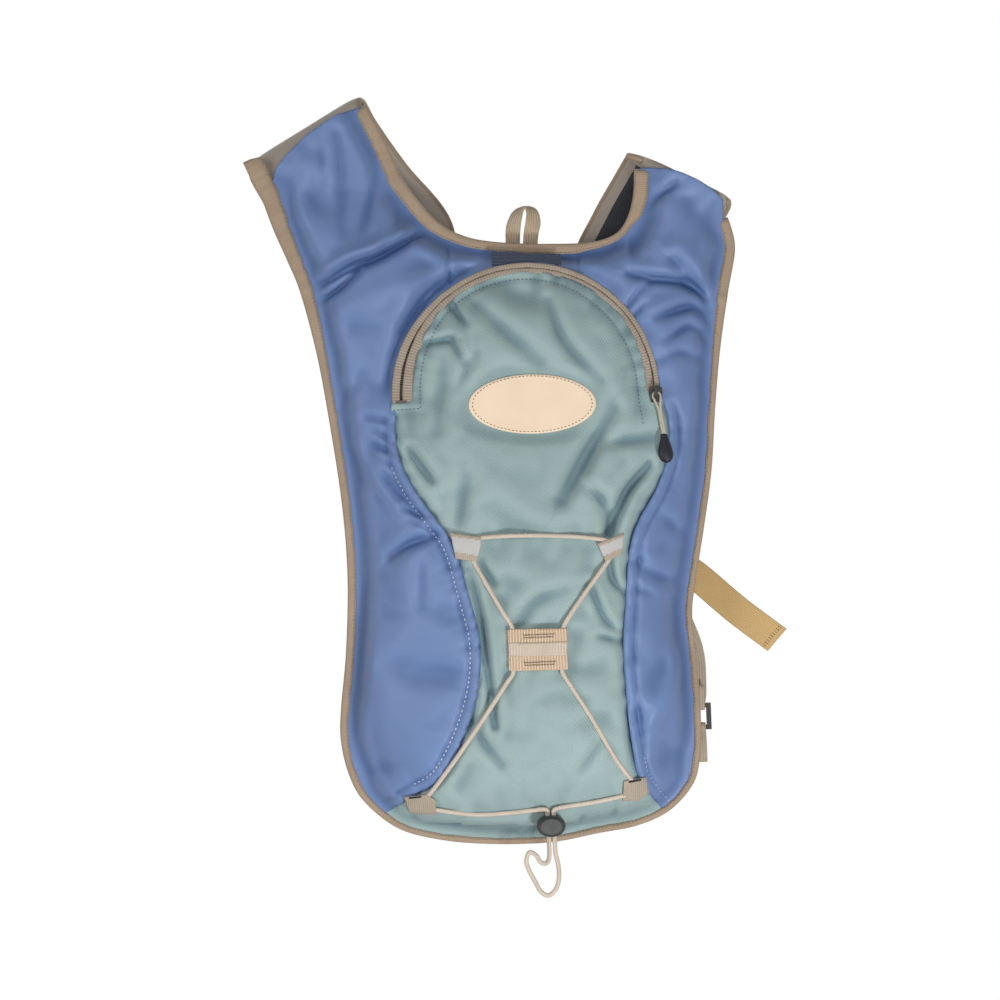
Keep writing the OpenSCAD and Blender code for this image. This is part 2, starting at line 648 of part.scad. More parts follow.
// Webbing from the ladder lock to the ring at the pack's lower corner
ring_l = [-119, 13, -336];
ring_r = [100, 13, -336];
function lower(c, d) = [[[c[0], c[1] - wrap_r, c[2] - 10], [9.8, 0, 0]],
    [[c[0], c[1] - 3.4 - web_t / 2, c[2] - 18], [9.8, 0, 0]],
    [[c[0] + (d[0] - c[0]) * 0.3, 28, c[2] - 46], [hw, 0, 0]],
    [[c[0] + (d[0] - c[0]) * 0.75, 20, c[2] - 92], [hw, 0, 0]],
    [[d[0], d[1] + wrap_r + 0.6, d[2] + 6], [hw, 0, 0]]];
module lower_webbing(c, d) {
    color("#b3a690") web_band(concat(stations(lower(c, d), 3),
        half_turn(d, 0, -180, hw),
        [[d + [0, -wrap_r, 7], [hw, 0, 0]],
        [d + [0, -wrap_r, 14], [hw, 0, 0]]]));
}
module lower_webbing_left() { lower_webbing(lock_l, ring_l); }
module lower_webbing_right() { lower_webbing(lock_rt, ring_r); }
module anchor_ring(c) {
    color("#2f2e2a") translate(c) {
        for (s = [-1, 1]) translate([s * 12.4 - 1.6, -1.7, -16.4])
            cube([3.2, 3.4, 18]);
        translate([-12.4, 0, 0]) rotate([0, 90, 0])
            cylinder(h = 24.8, r = 1.6);
        translate([-12.4, 0, -14.8]) rotate([0, 90, 0])
            cylinder(h = 24.8, r = 1.6);
    }
}
module anchor_ring_left() { anchor_ring(ring_l); }
module anchor_ring_right() { anchor_ring(ring_r); }
// Tab sewn to the back panel and folded round the ring's lower bar
module anchor_tab(c) {
    y0 = foam_t + mesh_t;
    d = c + [0, 0, -14.8];
    color("#b3a690") web_band(concat(
        [[[c[0], y0 + 1.5 * web_t + 0.1, c[2] - 38], [hw, 0, 0]],
        [[c[0], y0 + 1.5 * web_t + 0.1, c[2] - 26], [hw, 0, 0]],
        [[c[0], c[1] + 1.6, c[2] - 20], [hw, 0, 0]]],
        half_turn(d, 0, 180, hw),
        [[[c[0], c[1] - 2.8, c[2] - 19], [hw, 0, 0]],
        [[c[0], y0 + 0.5 * web_t, c[2] - 24], [hw, 0, 0]],
        [[c[0], y0 + 0.5 * web_t, c[2] - 38], [hw, 0, 0]]]));
}
module anchor_tab_left() { anchor_tab(ring_l); }
module anchor_tab_right() { anchor_tab(ring_r); }

// ---- reservoir ----
// Shares of the bag's outline, from its edge to its middle. The second and
// third take in the welded seam
bag_mid = [-6, -226];
bag_rings = [1, 0.965, 0.93, 0.86, 0.74, 0.6, 0.44, 0.28, 0.12];
bag_path = smooth(flip(bag_loop), 2);
module bag_solid(from, back, drop) {
    n = len(bag_path) - 1;
    m = len(bag_rings) - from;
    R = [for (i = [0 : m - 1]) for (k = [0 : n - 1])
        bag_mid + bag_rings[from + i] * (bag_path[k] - bag_mid)];
    V = concat([for (p = R) [p[0], drop - bag(p), p[1]]],
        [[bag_mid[0], drop - bag(bag_mid), bag_mid[1]]],
        [for (k = [0 : n - 1]) [R[k][0], -back, R[k][1]]]);
    mid = m * n;
    function next(k) = (k + 1) % n;
    F = concat(
        [for (i = [0 : m - 2]) for (k = [0 : n - 1]) let (a = i * n)
            [a + k, a + n + k, a + n + next(k)]],
        [for (i = [0 : m - 2]) for (k = [0 : n - 1]) let (a = i * n)
            [a + k, a + n + next(k), a + next(k)]],
        [for (k = [0 : n - 1]) [mid - n + k, mid, mid - n + next(k)]],
        [for (k = [0 : n - 1]) [k, next(k), mid + 1 + next(k), mid + 1 + k]],
        [[for (k = [0 : n - 1]) mid + 1 + k]]);
    polyhedron(V, F, 10);
}
module reservoir_bag() {
    color("#9fb4c4") difference() {
        bag_solid(0, 0, 0);
        bag_solid(2, film, film);
        port_hole(port_r);
    }
}
neck_r = port_r + 3;
module fill_port() {
    color("#dfe4e6") translate(port_at) rotate([-90, 0, 0])
        difference() {
            union() {
                cylinder(h = 0.8, r = 38, $fn = 96);
                cylinder(h = 14, r = neck_r, $fn = 96);
            }
            translate([0, 0, -5]) cylinder(h = 30, r = port_r, $fn = 96);
        }
}
module fill_cap() {
    color("#2d5f9a") translate(port_at) rotate([-90, 0, 0]) {
        difference() {
            translate([0, 0, 4]) cylinder(h = 13.4, r = cap_r, $fn = 96);
            translate([0, 0, 3]) cylinder(h = 11.6, r = neck_r + 0.4, $fn = 96);
            for (a = [0 : 30 : 330]) rotate(a)
                translate([cap_r + 2.4, 0, 2]) cylinder(h = 20, r = 5);
        }
        translate([0, 0, 17.4]) cylinder(h = 2.4, r = 4);
        translate([0, 0, 19.8]) cylinder(h = 1.4, r = 5.6);
    }
}
module cap_gasket() {
    color("#3c3c3c") translate(port_at) rotate([-90, 0, 0])
        translate([0, 0, 14]) difference() {
            cylinder(h = 0.6, r = neck_r - 0.1);
            translate([0, 0, -1]) cylinder(h = 3, r = port_r + 0.4);
        }
}
// Where the tether's upright stands, just clear of the cap
tether_r = cap_r + 1.8;
module cap_tether() {
    color("#55595e") translate(port_at) rotate([-90, 0, 0]) {
        difference() {
            union() {
                translate([0, 0, 17.6]) cylinder(h = 1.8, r = 7);
                translate([0, -4, 17.6]) cube([tether_r + 1.8, 8, 1.8]);
            }
            translate([0, 0, 15]) cylinder(h = 6, r = 4.3);
        }
        translate([tether_r, -4, 1.2]) cube([1.8, 8, 18.2]);
        translate([neck_r + 1, -4, 1.2])
            cube([tether_r + 0.8 - neck_r, 8, 1.6]);
        difference() {
            translate([0, 0, 1.2]) cylinder(h = 1.6, r = neck_r + 3.4, $fn = 96);
            translate([0, 0, 0]) cylinder(h = 4, r = neck_r + 0.4, $fn = 96);
        }
    }
}
// Hose port welded into the bottom seam of the bag
module hose_port() {
    c = [20, -4.4, -383];
    color("#c8ced2") translate(c) {
        translate([-13, -2.8, -8]) cube([26, 5.6, 5]);
        translate([0, 0, -21]) cylinder(h = 14, r = stem_r);
        for (k = [0, 1]) translate([0, 0, -20.5 + 5 * k])
            cylinder(h = 2.4, r1 = stem_r, r2 = stem_r + 0.5);
    }
}

side_shell();
pocket_panel();
pocket_lining();
back_foam();
back_mesh();
back_pad_left();
back_pad_right();
edge_binding();
neck_binding();
haul_loop();
closure_patch();
label_patch();
zip_tape_outer();
zip_tape_inner();
zip_coil();
zip_stop();
zip_slider();
zip_pull_cord();
zip_pull_tip();
cord_loop_upper_left();
cord_loop_upper_right();
cord_anchor_lower_left();
cord_anchor_lower_right();
cord_keeper();
keeper_reflector();
shock_cord();
shock_cord_tail();
cord_lock_barrel();
cord_lock_plunger();
cord_lock_spring();
shoulder_strap_left();
shoulder_strap_right();
strap_lining_left();
strap_lining_right();
strap_tab_left();
strap_tab_right();
ladder_lock_left();
ladder_lock_right();
webbing_tail_left();
webbing_tail_right();
lower_webbing_left();
lower_webbing_right();
anchor_ring_left();
anchor_ring_right();
anchor_tab_left();
anchor_tab_right();
reservoir_bag();
fill_port();
fill_cap();
cap_gasket();
cap_tether();
hose_port();
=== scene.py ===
"""Dress the hydration pack: cloth, cords, zip and harness on its frame."""

import math

import bmesh
import bpy
import numpy as np
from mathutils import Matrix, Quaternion, Vector, noise


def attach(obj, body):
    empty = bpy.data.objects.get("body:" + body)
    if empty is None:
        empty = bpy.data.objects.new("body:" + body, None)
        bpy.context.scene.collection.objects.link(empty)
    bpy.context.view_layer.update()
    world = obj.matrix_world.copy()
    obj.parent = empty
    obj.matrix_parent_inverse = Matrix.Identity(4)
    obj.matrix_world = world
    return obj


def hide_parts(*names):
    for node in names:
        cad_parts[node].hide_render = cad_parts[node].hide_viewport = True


bl_info = {
    "name": "Hydration Pack Maker",
    "version": (1, 0, 0),
    "blender": (4, 5, 0),
    "location": "View3D > Sidebar > Pack",
    "description":
        "Makes the cloth, cords, zip and harness of a hydration pack",
    "category": "Add Mesh",
}

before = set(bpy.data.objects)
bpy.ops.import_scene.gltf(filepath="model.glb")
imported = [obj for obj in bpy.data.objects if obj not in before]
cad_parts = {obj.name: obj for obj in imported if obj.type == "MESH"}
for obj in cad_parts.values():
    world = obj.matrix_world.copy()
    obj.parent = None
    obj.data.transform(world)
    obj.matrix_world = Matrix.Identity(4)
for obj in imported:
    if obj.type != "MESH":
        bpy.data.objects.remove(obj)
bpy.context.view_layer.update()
MM = 0.001

# ---- the pack's outline and front surface, in millimetres ----
LEFT_EDGE = [(-174, 14), (-168, -4), (-160, -24), (-152, -46), (-143, -86),
             (-137, -126), (-130, -187), (-128, -238), (-131, -288),
             (-136, -327), (-137, -348), (-133, -370)]
BOTTOM_EDGE = [(-133, -370), (-124, -389), (-103, -408), (-78, -417),
               (-44, -422), (0, -423), (34, -418), (60, -414), (82, -405),
               (98, -389), (104, -372)]
RIGHT_EDGE = [(104, -372), (106, -345), (105, -305), (103, -276),
              (105, -257), (113, -217), (120, -177), (124, -137),
              (129, -97), (136, -58), (142, -28), (138, -7)]
NECK_EDGE = [(76, 28), (75, 12), (70.5, -4), (62, -15), (46, -20),
             (20, -20.2), (-14, -18), (-40, -12.5), (-60, 0.4),
             (-79, 26.6), (-88, 48), (-102.4, 78.7)]
TOP_LEFT = [(-122, 72), (-140, 60.5), (-152.5, 50), (-161.5, 41),
            (-166.5, 32), (-168, 22)]
TOP_RIGHT = [(135, 4.5), (122.5, 15.5), (106, 24), (90, 28)]
POCKET_LEFT = [(-116, -404), (-93, -388), (-71, -375), (-55, -350),
               (-43, -317), (-40, -284), (-46, -254), (-54, -222),
               (-64, -205), (-80, -181), (-90, -155), (-90, -126)]
POCKET_RIGHT = [(87, -126), (91, -146), (89, -166), (80, -189), (68, -208),
                (61, -227), (57, -261), (54, -294), (55, -328), (58, -361),
                (63, -383), (84, -412)]
# share of the full bulge at each height
FULLNESS = [(-430, 0.88), (-330, 1), (-250, 0.96), (-180, 0.84),
            (-120, 0.7), (-70, 0.6), (-30, 0.5), (20, 0.3), (90, 0.26)]
BULGE = 50.0
RIM_H = 3.2  # height of the cloth where it goes under a binding
TUCK = 3.4  # how far the cloth starts inside the bound edge
STEP = 12  # cell of the frame's coarse front
SEWN_Z, TUCK_Z = -128, -126  # the pocket is sewn, and tucks in, below here
FADE = 12  # how much lower it does so in full
# the pocket's lining: cell of its mesh, depth below the twill, thickness
LINING_STEP, LINING_BACK, LINING_T = 3.0, 2.2, 0.8

# ---- the zip, the label and the cords ----
ZIP_AT = (-2.0, -26.0, -121.0)
ZIP_R = 84.0  # of the half circle that its teeth follow
ZIP_LEAN = math.radians(6)
ZIP_FOOT, ZIP_FADE = -150, 20  # the front flattens for the zip above here
TAPE_W = 3.8
R_OUT = ZIP_R + TAPE_W
PULL_AT = (82.9, -32.4, -124.8)
LABEL_AT = (0.8, -128.6)
LABEL_SIZE = (42.3, 19.8)
LABEL_TURN = math.radians(-1.5)
CORD_R = 1.5
CORD_LIFT = CORD_R + 1.1  # of a cord's middle over the frame's front
SEAM_ROW = 7  # from the pocket's seam to the topstitching beside it

# ---- the cloth simulation ----
SIM_GAP = 5.0  # cell of the coarse cloth
SIM_FRAMES = 20
SIM_LIMIT = 4  # most that a point may move
SIM_SHARE = 1.5  # how much of that the finished cloth takes over
SIM_FEEL = {"quality": 6, "air_damping": 2, "bending_stiffness": 0.5,
            "shrink_min": -0.04, "use_pressure": True,
            "uniform_pressure_force": 4, "vertex_group_mass": "held"}


# ---- lines and places ----
def smooth(points, n):
    """A Catmull-Rom curve through the points, n pieces to a span."""
    p = np.array(points, float)
    out = []
    for i in range(len(p) - 1):
        a, b, c = p[max(0, i - 1)], p[i], p[i + 1]
        d = p[min(len(p) - 1, i + 2)]
        for k in range(n):
            t = k / n
            out.append(0.5 * (2 * b + (c - a) * t
                              + (2 * a - 5 * b + 4 * c - d) * t * t
                              + (3 * b - a - 3 * c + d) * t ** 3))
    out.append(p[-1])
    return np.array(out)


def ways(p):
    """Unit directions along a line of points."""
    d = np.gradient(np.asarray(p, float), axis=0)
    return d / np.maximum(np.linalg.norm(d, axis=1, keepdims=True), 1e-9)


def left_of(p):
    """Unit directions to the left of a line, seen with x right, z up."""
    d = ways(p)
    return np.stack([-d[:, 1], d[:, 0]], 1)


def inset(p, w):
    """The line moved to its left by w."""
    return np.asarray(p, float) + w * left_of(p)


def gaps(p):
    """Distance from each point of a line to the next."""
    return np.linalg.norm(np.diff(p, axis=0), axis=1)


def run_of(p):
    """How far along a line each of its points is."""
    return np.concatenate([[0], np.cumsum(gaps(p))])


def spaced(p, gap):
    """Points along a line at an even spacing, and how far along each is."""
    p = np.asarray(p, float)
    s = run_of(p)
    at = np.linspace(0, s[-1], max(2, int(round(s[-1] / gap)) + 1))
    return np.stack([np.interp(at, s, p[:, k])
                     for k in range(p.shape[1])], 1), at


def pairs(ring):
    """Each point of a closed ring with the next."""
    p = np.asarray(ring, float)
    return zip(p, np.roll(p, -1, 0))


def turns(n):
    """n even angles round a circle."""
    return np.linspace(0, 2 * np.pi, n, endpoint=False)


def nearest(x, z, line):
    """Distance to a line, how far along it, and the side (+ on its left)."""
    p = np.asarray(line, float)
    best = np.full(np.shape(x), 1e9)
    along = np.zeros(np.shape(x))
    side = np.zeros(np.shape(x))
    run = 0.0
    for a, b in zip(p[:-1], p[1:]):
        ab = b - a
        size = math.hypot(*ab)
        t = np.clip(((x - a[0]) * ab[0] + (z - a[1]) * ab[1]) / size ** 2,
                    0, 1)
        dx, dz = x - a[0] - t * ab[0], z - a[1] - t * ab[1]
        d = np.hypot(dx, dz)
        near = d < best
        best = np.where(near, d, best)
        along = np.where(near, run + t * size, along)
        side = np.where(near, np.sign(ab[0] * dz - ab[1] * dx), side)
        run += size
    return best, along / run, side


def inside(x, z, ring):
    """True where a point is inside a closed ring."""
    hit = np.zeros(np.shape(x), bool)
    for a, b in pairs(ring):
        if a[1] != b[1]:
            hit ^= ((a[1] > z) != (b[1] > z)) & (
                x < (b[0] - a[0]) * (z - a[1]) / (b[1] - a[1]) + a[0])
    return hit


def within(line, ring):
    """The points of a line that are inside a ring."""
    return line[inside(line[:, 0], line[:, 1], ring)]


def closest(line, place):
    """Which point of a line is closest to a place."""
    return int(np.argmin(np.hypot(*(line - place).T)))


def hill(d, width):
    """A bell, 1 at its middle."""
    return np.exp(-(d / width) ** 2)


def ease(t):
    t = np.clip(t, 0, 1)
    return t * t * (3 - 2 * t)


def noises(u, v, w):
    """Smooth noise at each place."""
    u, v = np.broadcast_arrays(u, v)
    out = [noise.noise((a, b, w)) for a, b in zip(u.ravel(), v.ravel())]
    return np.array(out).reshape(u.shape)


# ---- the front surface ----
def from_zip(x, z):
    """Distance from the zip's centre, and degrees from its right end."""
    dx, dz = x - ZIP_AT[0], z - ZIP_AT[2]
    a = np.degrees(np.arctan2(dz, dx))
    return np.hypot(dx, dz), np.where(a < -90, a + 360, a)


def round_zip(degrees, r):
    """Places round the zip's centre."""
    a = np.radians(degrees)
    return np.stack([ZIP_AT[0] + r * np.cos(a), ZIP_AT[2] + r * np.sin(a)],
                    1)


def zip_plane(z):
    """Height of the zip's leaning tapes."""
    return -ZIP_AT[1] - (z - ZIP_AT[2]) * math.tan(ZIP_LEAN)


def by_zip(x, z, reach):
    """1 at the zip's tapes, less away from them."""
    return np.clip((z - ZIP_FOOT) / ZIP_FADE, 0, 1) * hill(
        from_zip(x, z)[0] - ZIP_R, reach)


def front(x, z, fine=1):
    """Height of the front surface before its edge seam."""
    x, z = np.asarray(x, float), np.asarray(z, float)
    f = np.array(FULLNESS, float)
    h = BULGE * np.interp(z, f[:, 0], f[:, 1])
    for line, soft in ((LEFT_EDGE, 30), (RIGHT_EDGE, 30), (NECK_EDGE, 18),
                       (BOTTOM_EDGE, 22)):
        line = smooth(line, fine) if fine > 1 else line
        h = h * (1 - np.exp(-nearest(x, z, line)[0] / soft))
    return h + by_zip(x, z, 13) * (zip_plane(z) - h)


def cell_height(u, v):
    """Height of the frame's coarse front at one place."""
    i, j = math.floor(u / STEP), math.floor(v / STEP)
    fx, fz = u / STEP - i, v / STEP - j
    a, b, c, d = (float(front((i + p) * STEP, (j + q) * STEP))
                  for p, q in ((0, 0), (1, 0), (0, 1), (1, 1)))
    if fz > fx:
        return a + (c - a) * fz + (d - c) * fx
    return a + (b - a) * fx + (d - b) * fz


# ---- folds in the cloth: line, depth, width, lip on the left side ----
SIDE_FOLDS = [
    ([(-146, -46), (-128, -38), (-115, -31), (-96, -25), (-67, -9)],
     -4.6, 3.6, 2.4),
    ([(-146, -55), (-128, -47), (-112, -35)], -3.2, 3.0, 1.2),
    ([(-122, 58), (-121, 30), (-122, -10)], -1.3, 5, 0.4),
    ([(-96, 32), (-102, 13), (-107, -6)], -1.2, 4, 0.4),
    ([(-133, 54), (-132, 28)], -0.8, 3.5, 0.2),
    ([(-145, 41), (-149, 13), (-144, -14)], 1.2, 6, 0),
    ([(-94, -20), (-86, -8), (-84, 6)], -0.9, 3, 0.3),
    ([(-128, -64), (-100, -52), (-74, -44)], 1.6, 9, 0),
    ([(-84, -74), (-69, -54), (-58, -45), (-44, -38)], -1.8, 6, 0),
    ([(-52, -14), (-50, -44)], -1.3, 1.3, 0),
    ([(35, -20), (37, -42)], -1.3, 1.3, 0),
    ([(76, -4), (89, 7), (103, 16)], -2.6, 3.4, 0.8),
    ([(69, -44), (87, -48), (102, -50), (115, -56), (124, -70)],
     -2.6, 3.4, 1.0),
    ([(99, -36), (109, -48), (120, -61)], -2.6, 5, 1.6),
    ([(67, -66), (76, -55), (84, -50)], -1.3, 2.4, 0.4),
    ([(71, -72), (79, -64)], -1.0, 2, 0.3),
    ([(86, -74), (105, -68), (114, -68), (124, -79)], -2.2, 3.6, 0.9),
    ([(92, -90), (106, -81), (114, -83), (121, -93)], -1.6, 3.2, 0.6),
    ([(84, -104), (100, -98), (117, -103)], -1.0, 3.6, 0.3),
    ([(-121, -144), (-108, -169), (-90, -196)], 1.8, 5, 0),
    ([(-100, -170), (-88, -187), (-77, -197)], -1.8, 4, 0.4),
    ([(-97, -226), (-84, -218), (-64, -212)], -2.0, 4, 0.9),
    ([(-76, -226), (-78, -258)], -1.0, 4, 0.2),
    ([(-112, -132), (-97, -135)], -1.3, 2.4, 0.3),
    ([(-106, -141), (-94, -149)], -1.5, 2.4, 0.5),
    ([(-106, -150), (-93, -158)], -1.4, 2.4, 0.5),
    ([(-101, -160), (-91, -168)], -1.1, 2.2, 0.4),
    ([(-88, -194), (-70, -202)], -1.4, 2.2, 0.5),
    ([(-82, -202), (-66, -211)], -1.3, 2.2, 0.5),
    ([(-130, -122), (-113, -104)], -1.2, 6, 0),
    ([(84, -208), (101, -221)], -0.9, 5, 0.3),
    ([(63, -233), (77, -245), (94, -250)], -1.4, 5, 0.5),
    ([(61, -252), (75, -257)], -0.8, 3.4, 0.2),
    ([(96, -298), (87, -318), (68, -345)], 1.9, 6, 0),
    ([(57, -325), (64, -349)], -1.6, 5, 0.2),
    ([(-118, -318), (-112, -352), (-98, -384)], -1.0, 6, 0),
]
POCKET_FOLDS = [
    ([(-32, -62), (-17, -77), (6, -101)], -1.9, 6, 0.3),
    ([(14, -60), (24, -88), (46, -115)], -1.7, 4.6, 0.4),
    ([(-51, -58), (-42, -73)], -1.5, 3, 0.4),
    ([(-68, -85), (-52, -83)], -1.5, 3, 0.5),
    ([(-51, -84), (-44, -99)], -1.5, 3, 0.4),
    ([(-36, -94), (-47, -114)], -1.4, 4.4, 0.2),
    ([(-54, -84), (-59, -112), (-63, -142)], -1.2, 7, 0),
    ([(-83, -155), (-68, -177)], -2.0, 3.6, 0.8),
    ([(52, -134), (37, -160), (18, -192)], -3.4, 6.4, 1.0),
    ([(49, -157), (82, -153)], -1.2, 5, 0.3),
    ([(76, -172), (60, -190), (48, -215)], -3.2, 3.8, 1.0),
    ([(-46, -176), (-51, -210)], -1.2, 5, 0.2),
    ([(34, -184), (46, -197), (49, -215)], -1.6, 4, 0.3),
    ([(-46, -236), (-40, -262), (-37, -291), (-33, -340)], -2.2, 2.8, 0.7),
    ([(47, -232), (49, -246), (56, -256)], -1.8, 2.4, 0.6),
    ([(34, -250), (42, -271), (51, -281)], -1.6, 3, 0.5),
    ([(38, -283), (54, -288)], -1.2, 2.4, 0.4),
    ([(-13, -273), (-2, -259), (16, -252)], -1.3, 5, 0.3),
    ([(-38, -232), (-30, -246)], -1.0, 3, 0.3),
    ([(-48, -338), (-38, -354), (-30, -365)], -1.4, 4, 0.5),
    ([(24, -371), (36, -355)], -0.9, 4, 0.2),
    ([(20, -414), (24, -402)], -0.9, 3, 0.2),
    ([(56, -332), (58, -368)], -0.9, 3, 0.2),
    ([(-90, -396), (-88, -406)], -0.9, 3, 0.2),
    ([(-60, -404), (-64, -414)], -0.7, 3, 0.2),
    ([(46, -397), (44, -410)], -0.8, 3, 0.2),
    ([(-34, -176), (-10, -196), (12, -212)], 1.2, 9, 0),
]


def folded(x, z, folds):
    """How far a set of folds stands out at each place."""
    h = np.zeros(np.shape(x))
    for line, depth, width, lip in folds:
        d, t, side = nearest(x, z, smooth(line, 4))
        taper = np.sin(np.pi * np.clip(0.13 + 0.74 * t, 0, 1)) ** 0.7
        h += depth * taper * hill(d, width)
        if lip:
            off = (d * side - 1.9 * width) / (1.3 * width)
            h += lip * taper * np.exp(-off ** 2) * (d < 6 * width)
    return h


def puckers(x, z, line, reach, wave, seed):
    """Small gathers that run out square from a seam."""
    d, t, _ = nearest(x, z, line)
    return noises(t * np.sum(gaps(line)) / wave, seed, 0.0) * np.exp(
        -d / reach)


BODY_PATH = smooth(LEFT_EDGE + BOTTOM_EDGE[1:] + RIGHT_EDGE[1:], 8)
NECK_PATH = smooth(NECK_EDGE, 10)
POCKET_L, POCKET_R = smooth(POCKET_LEFT, 8), smooth(POCKET_RIGHT, 8)
POCKET_RING = np.concatenate([POCKET_L, POCKET_R])


def body_tape(x, z):
    """Width of the tape round the body, wider and bunched up high."""
    left = np.interp(z, [-423, -370, -300, -107, -60, -27, 0, 14, 44],
                     [4.6, 5.6, 6, 6.2, 8.4, 9.8, 11.6, 12.6, 14])
    right = np.interp(z, [-423, -372, -276, -132, -81, -47, -14, 0],
                      [4.6, 5, 5, 4.8, 6.3, 8, 7, 6.4])
    return np.where(np.asarray(x) < 0, left, right)


def neck_tape(x, z):
    """Width of the tape round the neck, thin where it is pulled round."""
    return np.interp(x, [-103, -95, -79, -60, -40, -14, 20, 32, 42, 60, 69,
                         72, 76], [8.6, 9.6, 9.8, 8.6, 7.2, 6.8, 7.6, 7.8,
                                   5.6, 4.8, 5.2, 9.2, 10.2])


def edge_drop(x, z):
    """1 over the body, falling to 0 where the cloth goes under a binding."""
    d = np.minimum(nearest(x, z, BODY_PATH)[0] - body_tape(x, z),
                   nearest(x, z, NECK_PATH)[0] - neck_tape(x, z))
    return ease((d + 2) / (4 + 12 * (1 - by_zip(x, z, 9))))


def tape_reach(a):
    """Inner edge, slit edges and outer edge of the zip tapes."""
    left, right = ease((a - 118) / 55), ease((38 - a) / 38)
    slit = 0.09 + 0.8 * ease((a - 138) / 36) + 0.2 * right
    return (ZIP_R - 3.5 - 5 * left - 2.2 * right, ZIP_R - slit,
            ZIP_R + slit, ZIP_R + 3.6 + 2.6 * left)


def stitch_in(a):
    """How far inside the tape's edge the topstitching runs."""
    return 4 + 3.2 * hill(a - 35, 35)


def seam_gap(x, z):
    """Distance to the seam between the pocket and the sides."""
    return np.minimum(nearest(x, z, POCKET_L)[0],
                      nearest(x, z, POCKET_R)[0])


def dressed(x, z, creases):
    """The front surface with creases, brought down at the bindings."""
    return RIM_H + edge_drop(x, z) * (front(x, z, 4) - RIM_H + creases)


def side_height(x, z):
    creases = 2.0 * folded(x, z, SIDE_FOLDS)
    creases += 1.3 * noises(x / 36, z / 36, 3.1) + 0.55 * noises(
        x / 13, z / 13, 7.7)
    for share, line, reach, wave, seed in (
            (1.9, POCKET_L, 9, 4.6, 2.2), (1.2, POCKET_R, 9, 6, 5.2),
            (1.5, BODY_PATH, 9, 8, 8.4), (1.1, NECK_PATH, 8, 7, 9.4)):
        creases += share * puckers(x, z, line, reach, wave, seed)
    # the cloth sinks beside the zip, most on its upper left
    r, a = from_zip(x, z)
    sunk = 0.8 + 4.2 * ease((a - 40) / 60) * ease((186 - a) / 16)
    creases -= sunk * hill(r - R_OUT - 4.5, 5) * (a > -12)
    # it is turned under beside the pocket and sewn down along a row
    seam = seam_gap(x, z)
    low = np.clip((SEWN_Z - z) / FADE, 0, 1)
    creases += low * (0.5 * hill(seam - 3.6, 2.6)
                      - 1.9 * hill(seam - 7.4, 1.9)
                      - 1.1 * hill(seam, 1.1))
    creases += SIM_SHARE * settled("side_cloth", x, z)
    return dressed(x, z, creases)


def label_reach(x, z):
    """1 on the label's edge, less inside it."""
    dx, dz = x - LABEL_AT[0], z - LABEL_AT[1]
    c, s = math.cos(LABEL_TURN), math.sin(LABEL_TURN)
    return np.hypot((dx * c + dz * s) / LABEL_SIZE[0],
                    (dz * c - dx * s) / LABEL_SIZE[1])


def pocket_height(x, z, extra=0):
    creases = 2.8 * folded(x, z, POCKET_FOLDS)
    creases += 1.5 * noises(x / 30, z / 30, 13.1) + 0.6 * noises(
        x / 12, z / 12, 17.7)
    low = ease((TUCK_Z - z) / FADE)
    creases += low * (1.3 * puckers(x, z, POCKET_L, 7, 6, 3.3)
                      + 1.3 * puckers(x, z, POCKET_R, 7, 6, 6.6))
    # gathers and a sewn row along the zip
    r, a = from_zip(x, z)
    top = ease((z - TUCK_Z + 10) / FADE)
    edge = tape_reach(a)[0] - r
    swell = noises(np.radians(a) * 75 / 5.5, 4.4, 0)
    creases += top * 1.5 * swell * np.exp(-np.abs(edge) / 9)
    creases -= top * 0.9 * hill(edge - stitch_in(a), 1.7)
    creases += SIM_SHARE * settled("pocket_cloth", x, z)
    # the label keeps the cloth below it flat
    creases = creases * np.clip((label_reach(x, z) - 0.95) / 0.45, 0.08, 1)
    # it tucks under the side cloth, and laps over the zip's left end
    seam = seam_gap(x, z)
    creases -= low * 3.2 * hill(seam, 2.6)
    creases += 1.5 * hill(z - TUCK_Z, 3.4) * ease((-68 - x) / 6)
    out = np.where(inside(x, z, POCKET_RING), 0, seam)
    creases -= low * np.minimum(1.1 * out, 3.5)
    return dressed(x, z, creases) + extra


# ---- mesh making ----
def add_object(name, data):
    thing = bpy.data.objects.new(name, data)
    bpy.context.scene.collection.objects.link(thing)
    return thing


def new_mesh(name, points, faces):
    """A mesh from points in millimetres."""
    mesh = bpy.data.meshes.new(name)
    mesh.from_pydata((np.asarray(points, float) * MM).tolist(), [], faces)
    return mesh


def finish_of(name):
    return bpy.data.materials[name + "_finish"]


def enlist(name, mesh, body, replaces):
    """Makes a mesh a visible piece that rides on a body."""
    mesh.polygons.foreach_set("use_smooth", [True] * len(mesh.polygons))
    thing = add_object(name, mesh)
    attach(thing, body)
    if replaces:
        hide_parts(*replaces)
    return thing


def make(name, points, faces, finish, body="pack", replaces=(), slot=None,
         across=None):
    """A closed piece; across is the lay of its cloth, in millimetres."""
    mesh = new_mesh(name, points, faces)
    if across is not None:
        layer = mesh.uv_layers.new(name="lay")
        at = np.empty(len(mesh.loops), np.int32)
        mesh.loops.foreach_get("vertex_index", at)
        uv = np.asarray(across, float)[at] * MM
        layer.data.foreach_set("uv", uv.astype(np.float32).ravel())
    bm = bmesh.new()
    bm.from_mesh(mesh)
    bmesh.ops.recalc_face_normals(bm, faces=bm.faces)
    bm.to_mesh(mesh)
    bm.free()
    mesh.materials.append(finish_of(finish))
    return enlist(name, mesh, body, replaces)


